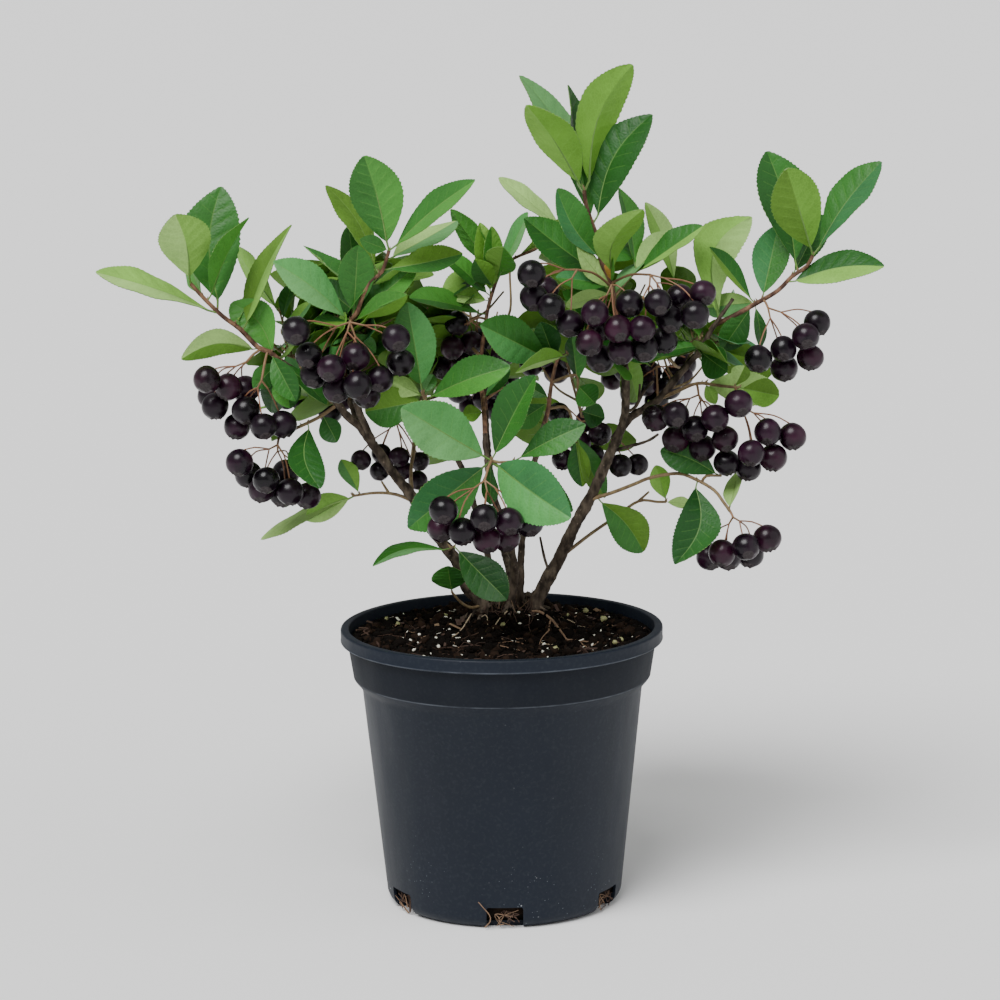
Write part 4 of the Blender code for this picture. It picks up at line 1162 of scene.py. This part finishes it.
def limbs():
    """All the limbs, as one piece in bark."""
    parts = flare_roots()
    parts += limb([(24, 171, 22), (31, 183.5, 21), (39.3, 201, 19), (48.4, 217.5, 17), (56, 234.5, 15),
                   (62, 247.5, 14)], 3.8, 2.5, foot=(17, 21), flare=1.2,
                  stubs=[(0.8, (26, 174, 21), (23, 183, 19), (20.7, 194.5, 17)),
                         (0.9, (60, 240, 15), (67, 242, 14), (73, 243.5, 12), (78.5, 245.5, 11), (83, 248.5, 10))])
    parts += limb([(61, 244, 14), (65, 257, 13), (66, 267, 10), (65.5, 284.5, 4), (64, 294, 1)], 2.4, 1.9,
                  stubs=[(0.9, (66, 260, 12), (71, 263, 14), (75.5, 271, 16), (80.5, 276.5, 17)),
                         (0.8, (73, 267, 15), (73.4, 275, 16))])
    parts += limb([(60, 246, 14), (68, 257, 15), (76, 262, 16), (84, 267.5, 15), (91, 276.5, 13), (99.3, 286, 11),
                   (105, 292.5, 10)], 2.3, 1.7,
                  stubs=[(1.2, (105, 292, 10), (110, 302, 8), (121.8, 319, 6))])
    parts += limb([(-12, 161.5, 18), (-18, 168, 16), (-23.5, 182, 12), (-30, 191, 10), (-37, 201, 7),
                   (-47, 218, 4), (-55.5, 229, 1), (-66, 245, -2)], 3.3, 2.4, foot=(-8, 19), flare=1.0)
    parts += limb([(-64, 242, -2), (-73, 254, -3), (-78.5, 259, -4), (-85, 267.5, -5), (-92, 275.5, -6),
                   (-103, 282, -8), (-113.5, 288.8, -10)], 2.2, 1.5)
    parts += limb([(-65, 243, -2), (-70, 255, -7), (-73, 262, -11), (-75, 272, -15), (-76.5, 289, -20),
                   (-76.5, 300, -24)], 1.9, 1.4)
    parts += limb([(5.5, 165, 17), (7, 173, 14), (5.5, 188, 6), (0, 206, -4), (-5, 224, -14), (-7, 240, -18),
                   (-7.5, 250, -18)], 2.3, 1.4, foot=(5, 18), flare=0.8)
    parts += limb([(10, 166, 25), (10.5, 182, 23), (12, 200, 21), (16, 225, 18), (21, 245, 16), (23.5, 255, 15)],
                  2.2, 1.4, foot=(10.5, 27.5), flare=0.7)
    parts += limb([(-2, 165, 26), (-7, 185, 22), (-12, 205, 18), (-17, 225, 14), (-22, 236, 11), (-30, 252, 5),
                   (-35, 262, 0)], 1.9, 1.2, foot=(-1, 27.5), flare=0.6)
    parts += limb([(-8, 165, 40), (-20, 180, 50), (-37, 200, 62), (-47, 219, 74), (-60, 235, 84), (-72, 252, 92),
                   (-78, 268, 98)], 2.1, 1.4, foot=(3, 36), flare=0.6)
    parts += limb([(7, 166, 48), (3, 182, 66), (-1, 202, 88), (-4, 222, 106), (-6, 242, 118), (-7, 262, 128)],
                  2.1, 1.4, foot=(8.5, 39), flare=0.6)
    parts += limb([(20, 166, 42), (30, 181, 54), (40, 201, 66), (49, 218, 78), (58, 238, 88), (64, 256, 96),
                   (66, 272, 102)], 2.2, 1.4, foot=(14, 36.5), flare=0.6)
    nodes = [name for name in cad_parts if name.endswith(("_stem", "_bough"))]
    mesh = gathered([(part, 0) for part in parts], "stems and boughs", 70)
    add_piece("stems_and_boughs", mesh, [bark_finish("old bark", (0.018, 0.012, 0.008), (0.125, 0.096, 0.069), 0.85)],
              nodes)


def left_crown():
    crown = Crown("left")
    crown.mass("left_tip_foliage",
               [(-113, 288.4, -10), (-119, 294, -11), (-125, 296.5, -12), (-134, 306, -12), (-143, 313, -13),
                (-152, 322, -14), (-159, 330, -15)], (1.4, 1.0),
               [(1, -166, 366, -38, 26, -1, "pale/wan", 0.05), (0.68, -142, 380, 8, 31, 1, "mid", -0.08),
                (0.8, -128, 364, -14, 8, -1, "mid/bright", -0.15), (0.66, -208, 336.5, -30, 12, 1, "wan/pale", 0.04),
                (0.42, -106, 360, 2, 13, 1, "olive/pale", -0.08), (0.22, -165, 291, -22, 14, -1, "wan/lime", 0.14),
                (0.06, -138, 320, -2, 20, 1, "bright", 0.12), (0.12, -106, 268, -22, 13, 1, "dark/mid"),
                (0.5, -118, 335, 34, 13, 0, "pale"), (0.85, -160, 343, 26, 13, 0, "bright"),
                (0, -109, 264.4, -14, 15, 1, "dark/bright"), (0.02, -128, 275, -16, 12, 1, "dark/mid"),
                (0.04, -90, 266, -18, 11, 1, "dark"), (0.02, -119, 262, 8, 14, 1, "dark")],
               [(0.2, (-131, 289, -20), -26, BERRY, (-152, 280), (-141, 276), (-148, 266), (-132, 274.5),
                 (-150, 271.5)),
                (0.15, (-123.5, 279, -20), -26, BERRY, (-123, 255), (-132, 263.5), (-113, 256), (-137, 255))])
    crown.mass("left_low_foliage",
               [(-85, 265.5, -5), (-93, 260, -4), (-101, 256, -4), (-110, 252, -6), (-115, 249, -10)], (1.0, 0.8),
               [(0.5, -94.5, 221.5, -34, 16, 1, "dark", 0.12), (0.25, -85, 246, -10, 12, 1, "dark"),
                (0.6, -119, 247, 8, 7, -1, "olive")],
               [(1, (-116, 245, -20), -22, BERRY, (-122.5, 226.5), (-110, 220), (-136, 236), (-101, 218),
                 (-125, 221.5), (-114, 219), (-131.5, 229.5), (-112, 230))])
    crown.mass("left_back_twig",
               [(-44, 213.5, 5), (-54.5, 218, 10), (-65.5, 219, 14), (-77, 217.5, 17)], (1.0, 0.7),
               [(1, -102, 205, 18, 14, 1, "wan/pale", 0.06), (0.98, -126, 195, 30, 7, 1, "wan"),
                (0.9, -83, 237, 30, 9, 1, "mist/pale")], (),
               [(0.45, (-62, 225, 16))])
    crown.mass("left_inner_foliage",
               [(-76.5, 299, -23.8), (-76, 310, -27), (-73, 314, -28), (-71, 320, -29), (-66, 330, -30),
                (-60, 335, -31), (-56, 346, -33)], (1.3, 0.9),
               [(1, -68, 395, -50, 26, -1, "bright/mid", 0.02), (0.75, -88, 380, -22, 10, 1, "olive", 0.1),
                (1, -11, 382, -44, 10, 1, "mid/bright"), (1, -71, 352, -44, 9, 1, "mid"),
                (0.25, -72, 349, -32, 18, 1, "mid"), (0.24, -77, 359, -10, 16, 1, "mid/dark"),
                (0.2, -116, 341, -42, 19, 1, "mist/cool"), (0.25, -41, 339, -26, 14, 1, "mid/bright"),
                (0.6, -33, 333, -14, 8, -1, "pale"), (0.8, -18, 344, -28, 11, 1, "olive/mid"),
                (0.9, -21, 361, 8, 13, 1, "wan/mist"), (0.5, -100, 349, -8, 7, 1, "bright/mid"),
                (0.2, -96, 309, -40, 7, 1, "olive/dark"), (0.2, -47, 323, -34, 12, -1, "lime/bright"),
                (0.1, -64, 293, -22, 9, 1, "mid/dark"), (0.5, -60, 340, 12, 16, 0, "lime"),
                (0.3, -92, 330, 10, 14, 0, "dark")],
               [(0.2, (-77, 309, -36), -56, BERRY, (-87, 285), (-53.3, 300.5), (-98.5, 292), (-73.6, 276),
                 (-62, 279), (-74.4, 291), (-105, 305), (-51, 288), (-69, 271), (-84.5, 274), (-96, 282))])
    crown.mass("left_shoulder_foliage",
               [(-101, 281.2, -7.5), (-105, 291, 6), (-110, 303, 14), (-113, 314, 18)], (0.9, 0.7),
               [(1, -136, 349, 40, 14, -1, "pale"), (0.9, -106, 330, 20, 5, 1, "dark"),
                (0.7, -97, 320, 20, 7, 1, "pale/mist"), (0.3, -97, 277, 16, 9, 1, "mid")],
               (), (), (0, 0, 8, 42, (-140, -85, 285, 345), 1.3))
    crown.mass(None, [(-98, 278, -6), (-100, 287, 15), (-102, 294, 38), (-100, 300, 60)], (1.0, 0.7),
               rule=(4, 24, 4, 40, (-150, -60, 250, 335), 0.7))
    crown.mass(None, [(-76, 289, -20), (-70, 299, 4), (-62, 309, 26), (-56, 319, 46)], (1.0, 0.7),
               rule=(4, 24, 4, 40, (-100, -20, 262, 345), 2.1))
    crown.mass("foot_foliage",
               [(-27.2, 187.6, 11), (-26.5, 189, 2), (-24.5, 190, -6)], (0.9, 0.7),
               [(1, 3, 161, -26, 20, 1, "deep/dark"), (0.6, -67.5, 180, -6, 8, 1, "mist/mid", 0.34)])
    crown.mass("foot_sprout",
               [(-10, 158.5, 18), (-16, 157, 12), (-21.5, 160, 7), (-26, 165.5, 3)], (0.9, 0.7),
               [(1, -28, 179.5, -4, 18, 1, "mid/dark")])
    return crown


def middle_crown():
    crown = Crown("middle")
    crown.mass("left_berry_twig",
               [(-46, 216.5, 4), (-46.5, 231, 14), (-44.5, 244, 22), (-48, 256, 28)], (1.0, 0.7),
               [(1, -62, 266, 32, 12, 1, "dark"), (0.9, -38, 262, 34, 12, 1, "mid/cool")],
               [(1, (-54, 257, 32), 30, 5.4, (-52.5, 238), (-62, 240), (-42, 235.5), (-72.5, 236.5), (-51, 231),
                 (-63, 230.5), (-43, 225.5))])
    crown.mass("centre_left_foliage", [(-34.6, 261.2, 0.4), (-38, 267, -5), (-40, 272, -9)], (1.1, 0.9),
               [(1, -47, 319, -18, 22, 1, "mid/cool"), (0.7, 6, 285, -20, 18, 1, "mid/bright"),
                (0.6, -70, 262, 2, 21, 1, "mid/olive"), (0.8, -58, 279, 0, 11, -1, "wan"),
                (0.9, -34, 281, -2, 7, 1, "mist/mid")])
    crown.mass("front_rosette", [(-6.6, 231, -16.5), (-5.5, 234, -28), (-4.5, 235.5, -40)], (1.2, 1.1),
               [(1, -51, 264, -66, 27, 1, "mist/cool"), (0.9, 19, 280, -44, 17, 1, "dark/mid"),
                (1.99, 45, 254, -48, 17, 1, "dark/mid"), (0.95, 37, 204.5, -76, 29, 1, "blue/cool"),
                (0.9, -48.5, 200, -44, 26, 1, "mid/blue"), (0.8, -5, 212, -34, 9, 1, "dark"),
                (0.7, 38, 208, -36, 16, 1, "dark")],
               [(1, (-8, 225, -50), -74, BERRY, (-8.5, 205), (-29.9, 209.5), (-20, 198), (4.5, 203), (15, 202),
                 (-7.3, 193.5), (3, 194), (-31.2, 199.5))],
               [(0.99, (0, 234.5, -42), (7, 235, -42))])
    crown.mass("centre_back_foliage",
               [(-7.5, 249, -18), (-8, 262, -6), (-9, 275, 10), (-9, 290, 22), (-7, 305, 30), (-4, 320, 36),
                (4, 338, 42), (20, 346, 46)], (1.3, 0.8),
               [(0.12, -19, 260, -10, 9, 1, "lime/olive"), (0.2, 6, 283, -2, 7, 1, "cool/dark"),
                (0.62, -46, 321.5, 14, 11, 1, "mid/bright"), (0.75, 16, 365, 34, 9, 1, "cool/mist"),
                (0.78, 3, 347, 20, 17, 1, "pale/bright"), (0.72, -3, 358, 34, 9, 1, "bright/pale"),
                (0.7, -30, 345, 32, 10, 1, "mid/bright"), (0.8, -24, 367, 44, 11, -1, "bright"),
                (0.68, -28, 324, 30, 9, 1, "wan/pale"), (2.99, 1, 383, 60, 4.5, 1, "wan"),
                (0.9, 40, 362, 60, 14, 0, "dark"), (0.7, -9, 360, 38, 11, 1, "lime/pale"),
                (0.85, -29.5, 320, 32, 12, 1, "dark/pale", 0.08), (0.74, -12, 341, 26, 12, 1, "mid/lime")],
               [(0.6, (-14, 309, 20), 30, 6.3, (-21.5, 308), (-24, 295), (-14, 297.5), (-29, 302.5), (-7, 300),
                 (-20, 287), (-29, 284.5), (-10, 289), (2, 291))],
               [(0.55, (5.5, 312, 20), (6.3, 334, 22)), (0.97, (28, 350, 50), (36, 354, 54))])
    crown.mass(None, [(-9, 290, 22), (-16, 298, 40), (-20, 308, 58), (-18, 322, 72)], (1.0, 0.7),
               rule=(3, 24, 4, 40, (-60, 30, 262, 345), 1.4))
    crown.mass("centre_right_foliage",
               [(23.2, 253.8, 15.1), (25.5, 262, 14), (27, 273.5, 12), (29, 283, 11), (31, 289, 8), (36, 291, 8)],
               (1.3, 0.8),
               [(0.8, -9.5, 307, -20, 23, 1, "cool/mid"), (0.8, 22, 308, -2, 14, 1, "dark/deep"),
                (1.5, 38, 301, 6, 10, -1, "mid/deep"), (1.5, 50, 265, -6, 14, 1, "dark/mid"),
                (1.9, 55, 257, 10, 13, 1, "dark/deep"), (0.3, 7, 254, 18, 13, 1, "mid/dark"),
                (0.35, 14, 275, 20, 8, 1, "mid/dark"), (2.9, 43, 221, 24, 12, 1, "olive/dark"),
                (2.8, 55, 215, 30, 12, 1, "mid/olive"),
                (1, 9, 282, -22, 10, -1, "lime/wan")],
               [(1.99, (46, 256, 26), 30, 6.1, (52.5, 249), (42, 244.5), (31, 260), (49, 237.5), (33, 236),
                 (63, 232), (72, 232.5), (46, 256))],
               [(0.55, (40, 280, 10), (41, 270, 12), (43, 258, 18)), (0.22, (36, 262, 20), (40, 244, 24))])
    return crown


def right_crown():
    crown = Crown("right")
    crown.mass("leader_foliage",
               [(64.1, 293.4, 1.2), (62, 305, -2), (58.5, 328, -6), (54, 338, -6), (52, 350, -5), (49, 359, -4),
                (46, 368, -3), (45, 376, -3)], (1.6, 1.0),
               [(1, 16, 420, -30, 19, -1, "lime/pale"), (0.99, 70, 440, 10, 16, -1, "lime", -0.14),
                (0.97, 37, 430, 6, 13, 1, "mid"), (0.97, 12.5, 435, 26, 16, 1, "mist", 0.15),
                (0.79, 80, 414.5, 2, 21, 1, "dark", -0.1), (0.56, 31, 377, -8, 16, 1, "blue/mid", -0.1),
                (0.45, 75, 366, -38, 18, -1, "lime/pale", -0.15), (1.99, 63, 377, 14, 10, 1, "mid/bright", 0.1),
                (0.37, 41, 347, -14, 9, 1, "wan"), (0.42, 14, 362, 4, 17, 1, "dark/mid"),
                (0.4, 30, 331, -16, 10, 1, "mid/blue"), (0.36, 35, 317, -22, 9, -1, "wan"),
                (0.42, 59.5, 342, -16, 6, 1, "amber/bright"), (0.35, 76, 339, 14, 8, 1, "mist"),
                (0.3, 67, 329, 16, 9, 1, "olive"), (0.5, 40, 344, 22, 12, 0, "lime"),
                (0.55, 70, 350, 24, 14, 0, "mid"), (0.8, 40, 398, 30, 14, 0, "mid"),
                (1.9, 106, 357, 2, 7, 1, "mid/pale"), (1.8, 90, 354, 22, 13, 1, "wan"),
                (2.99, 76.5, 369.5, 36, 11, 1, "pale/wan", 0.06),
                (0.02, 72, 266, 26, 12, 1, "lime/olive")],
               [(0.4, (41, 335, -26), -46, BERRY, (17.5, 333), (27.6, 316), (18.6, 321), (37.2, 307), (24.5, 325)),
                (0.3, (59, 327, -26), -50, BERRY, (50, 312.5), (62, 304), (68, 317), (47, 297), (63.6, 292.5),
                 (53, 288.5), (54, 305)),
                (0.42, (79, 332, -24), -48, BERRY, (83, 317.5), (74.5, 304), (89, 309), (102, 311), (75.5, 294),
                 (106, 322), (94, 320), (86, 298))],
               [(0.33, (66, 328, 4), (72, 334, 8)), (0.3, (80, 320, 20), (93, 326, 30))])
    crown.mass(None, [(65, 284, 4), (58, 294, 24), (52, 304, 44), (50, 313, 60)], (1.0, 0.7),
               rule=(4, 24, 4, 40, (10, 108, 262, 350), 3.2))
    crown.mass(None, [(95, 281, 12), (99, 289, 34), (101, 296, 54), (100, 304, 68)], (1.0, 0.7),
               rule=(4, 24, 4, 40, (60, 150, 262, 335), 5.0))
    crown.mass("right_tip_foliage",
               [(104.6, 291.8, 10), (108, 298, 10), (112, 305, 10), (122, 310, 9), (133, 316, 8), (145, 323, 7),
                (152, 330, 7), (160, 335.5, 6), (163, 341, 6)], (1.5, 1.0),
               [(1, 149, 386, -22, 26, -1, "lime/olive"), (0.85, 139, 395, 24, 25, 1, "dark/mid", 0.04),
                (1, 198, 389, 10, 19, 1, "mid/blue", -0.03), (0.55, 145, 357, 22, 19, 1, "blue/mid"),
                (0.75, 200, 335, -10, 14, 1, "dark/pale", -0.05), (0.2, 131, 361.5, 38, 25, -1, "wan/pale", -0.24),
                (0.5, 109.5, 346, 10, 8, 1, "olive/dark"), (0.52, 107, 314, 30, 12, 1, "mist/wan"),
                (0, 119, 281, -16, 17, 1, "dark"),
                (0.5, 136, 293, 4, 8, 1, "dark"), (0.48, 116, 292, 10, 15, 1, "dark/mid"),
                (0.05, 80, 290, 4, 9, 1, "dark/mid"),
                (0.02, 78, 286, 24, 6, 1, "olive/mid"),
                (0.8, 168, 362, 40, 15, 0, "dark")],
               [(0.56, (140, 314, 2), -12, BERRY, (159.5, 299), (148, 292.5), (135, 287.5), (165.5, 306),
                 (162, 288), (148.5, 282.5))])
    crown.mass("right_middle_foliage",
               [(83, 266.8, 15), (93, 271, 12), (103.5, 275, 8), (116, 273.5, 4), (125, 272.5, 2)], (1.1, 0.8),
               [(1, 146, 268, 2, 15, 1, "olive/lime"), (0.95, 128, 284, 0, 10, -1, "olive/wan"),
                (0.6, 113, 264, 6, 7, -1, "pale"), (0.55, 146, 270, 14, 17, 1, "wan")],
               [(0.5, (104, 269, -4), -24, BERRY, (92, 258.5), (112.5, 256.5), (102, 251), (92, 246),
                 (81.5, 257), (117.7, 245.5), (118.5, 233), (106, 241)),
                (0.95, (127, 262, -8), -24, BERRY, (124.7, 264), (131.5, 238), (140, 249), (153, 246.5),
                 (143, 235.5), (130, 230))])
    crown.mass("right_low_foliage",
               [(48.5, 214.5, 16), (59.5, 218, 12), (70, 222, 7), (79, 225.5, 2), (93, 227.5, -5),
                (102, 224.5, -10), (112, 218.5, -16), (117, 212, -19), (120.5, 207, -21)], (1.1, 0.8),
               [(0.03, 75, 186, 26, 20, 1, "olive/mid", -0.06), (0.72, 91.6, 179, -38, 22, 1, "dark/deep", -0.15),
                (1.99, 84, 240, -4, 17, 1, "dark", 0.05), (0.99, 124, 228, 6, 9, 1, "wan")],
               [(1, (122, 204, -23), -34, BERRY, (128.8, 188), (116.5, 185), (140, 192.5), (119.5, 183),
                 (131, 184), (110, 183))],
               [(0.75, (108, 226, -9), (116, 226, -8))])
    crown.mass("right_back_twig",
               [(33, 184.8, 21), (47.5, 196, 27), (60, 204.5, 31), (72.5, 213, 35), (82.5, 212.5, 38),
                (87, 212.5, 39)], (1.0, 0.7),
               [(1, 81.5, 232, 36, 11, -1, "lime/pale"), (0.99, 101, 211, 44, 6, 1, "wan")], (),
               [(0.76, (78, 218, 38))])
    return crown


def rear_crown():
    """The far side, which the front does not show: grown by rule, inside what the front hides."""
    crown = Crown("rear")
    crown.mass("rear_left_foliage",
               [(-77.6, 266.8, 97.5), (-80, 285, 104), (-78, 302, 110), (-74, 320, 114)], (1.3, 0.9), (),
               [bunch(0.4, (-82, 292, 124), 6), bunch(0.15, (-98, 284, 104), 5), bunch(0.7, (-66, 306, 128), 4)],
               (), (6, 30, 6, 50, (-128, -34, 250, 352), 0.4))
    crown.mass("rear_right_foliage",
               [(66, 271, 101.6), (66, 290, 108), (62, 308, 114), (58, 328, 118)], (1.3, 0.9), (),
               [bunch(0.4, (66, 300, 128), 6), bunch(0.15, (84, 290, 112), 5), bunch(0.7, (48, 316, 132), 4)],
               (), (6, 30, 6, 50, (6, 116, 250, 356), 1.9))
    crown.mass("rear_middle_foliage",
               [(-7, 261, 127.5), (-8, 276, 134), (-10, 292, 140), (-14, 310, 144), (-16, 326, 146)], (1.3, 0.9),
               (), [bunch(0.35, (-8, 286, 150), 7), bunch(0.1, (12, 276, 146), 4), bunch(0.6, (-30, 300, 154), 5)],
               (), (6, 30, 6, 50, (-66, 48, 248, 354), 2.7))
    crown.mass("inner_left_foliage",
               [(-47, 218.6, 73.8), (-46, 236, 78), (-42, 262, 76), (-36, 288, 74), (-30, 312, 72)], (1.1, 0.8),
               (), [bunch(0.6, (-40, 296, 90), 5)], (), (5, 28, 5, 46, (-70, 8, 236, 352), 1.2))
    crown.mass("inner_right_foliage",
               [(49.2, 218.6, 78), (47, 238, 80), (42, 262, 78), (36, 286, 74), (33, 312, 72)], (1.1, 0.8),
               (), [bunch(0.6, (30, 300, 90), 5)], (), (5, 28, 5, 46, (0, 84, 236, 356), 3.9))
    crown.mass("rear_far_right_foliage",
               [(63.8, 255.4, 95.8), (76, 262, 96), (84, 267.5, 94), (91, 277, 92), (99, 287, 90),
                (104, 300, 88)], (1.1, 0.8), (), [bunch(0.35, (82, 284, 104), 5)], (),
               (6, 26, 5, 46, (66, 154, 250, 340), 0.9))
    crown.mass("rear_far_left_foliage",
               [(-71.5, 251.3, 91.7), (-78, 258, 90), (-85, 266, 88), (-97, 279, 84), (-107, 290, 80),
                (-112, 303, 76)], (1.1, 0.8), (), [bunch(0.35, (-88, 280, 100), 5)], (),
               (6, 26, 5, 46, (-156, -74, 252, 340), 2.2))
    return crown


def crowns():
    for _ in range(LIGHT_SHAPES):
        Crown.light_shapes.append(leaf_template(LIGHT_VEINS, LIGHT_PARTS, LIGHT_STRIPS, 0))
    for number in range(4):
        Crown.berries.append(berry_template(3 * number))
    Crown.bud = bud_template()
    tones = tone_finishes()
    fruit = [skin_finish("black fruit", (0.0015, 0.0008, 0.0018), (0.01, 0.002, 0.009)),
             skin_finish("purple fruit", (0.0035, 0.001, 0.0038), (0.024, 0.0035, 0.017)),
             skin_finish("wine fruit", (0.0055, 0.001, 0.004), (0.032, 0.005, 0.019)),
             plain_finish("calyx", (0.017, 0.009, 0.011), 0.6, 0.8)]
    twigs = [bark_finish("twig bark", (0.055, 0.026, 0.017), (0.24, 0.13, 0.075), 0.7),
             bark_finish("young bark", (0.13, 0.085, 0.045), (0.24, 0.18, 0.09), 0.6),
             plain_finish("fruit stem", (0.21, 0.115, 0.055), 0.65),
             plain_finish("fruit stalk", (0.22, 0.1, 0.05), 0.65)]
    for crown in (left_crown(), middle_crown(), right_crown(), rear_crown()):
        crown.make(tones, fruit, twigs)


def soft_sun(name, energy, softness, place_from):
    lamp = bpy.data.lights.new(name, "SUN")
    lamp.energy = energy
    lamp.angle = math.radians(softness)
    sun = bpy.data.objects.new(name, lamp)
    sun.rotation_euler = (-Vector(place_from)).to_track_quat("-Z", "Y").to_euler()
    bpy.context.scene.collection.objects.link(sun)


def studio():
    """A pale floor, soft light and the camera."""
    bm = bmesh.new()
    bmesh.ops.create_grid(bm, x_segments=1, y_segments=1, size=FLOOR_REACH)
    mesh = bpy.data.meshes.new("floor")
    bm.to_mesh(mesh)
    bm.free()
    floor = bpy.data.objects.new("floor", mesh)
    mesh.materials.append(Finish("pale floor", (0.9, 0.9, 0.9), 0.9).material)
    bpy.context.scene.collection.objects.link(floor)
    world = bpy.data.worlds.new("soft light")
    world.use_nodes = True
    world.node_tree.nodes["Background"].inputs["Color"].default_value = (1, 1, 1, 1)
    world.node_tree.nodes["Background"].inputs["Strength"].default_value = WORLD_LIGHT
    bpy.context.scene.world = world
    soft_sun("key", KEY_LIGHT, KEY_SOFTNESS, KEY_FROM)
    soft_sun("fill", FILL_LIGHT, FILL_SOFTNESS, FILL_FROM)
    camera = bpy.data.cameras.new("camera")
    camera.sensor_width = 36
    camera.lens = 36 * FOCAL
    camera.clip_end = 2 * FLOOR_REACH
    seen = bpy.data.objects.new("camera", camera)
    seen.matrix_world = (Matrix.Translation(EYE_PLACE) @ Matrix.Rotation(math.pi / 2 - LOOK_DOWN, 4, "X")
                         @ Matrix.Rotation(-LEAN, 4, "Z"))
    bpy.context.scene.collection.objects.link(seen)
    bpy.context.scene.camera = seen


studio()
pot()
soil()
litter()
limbs()
crowns()
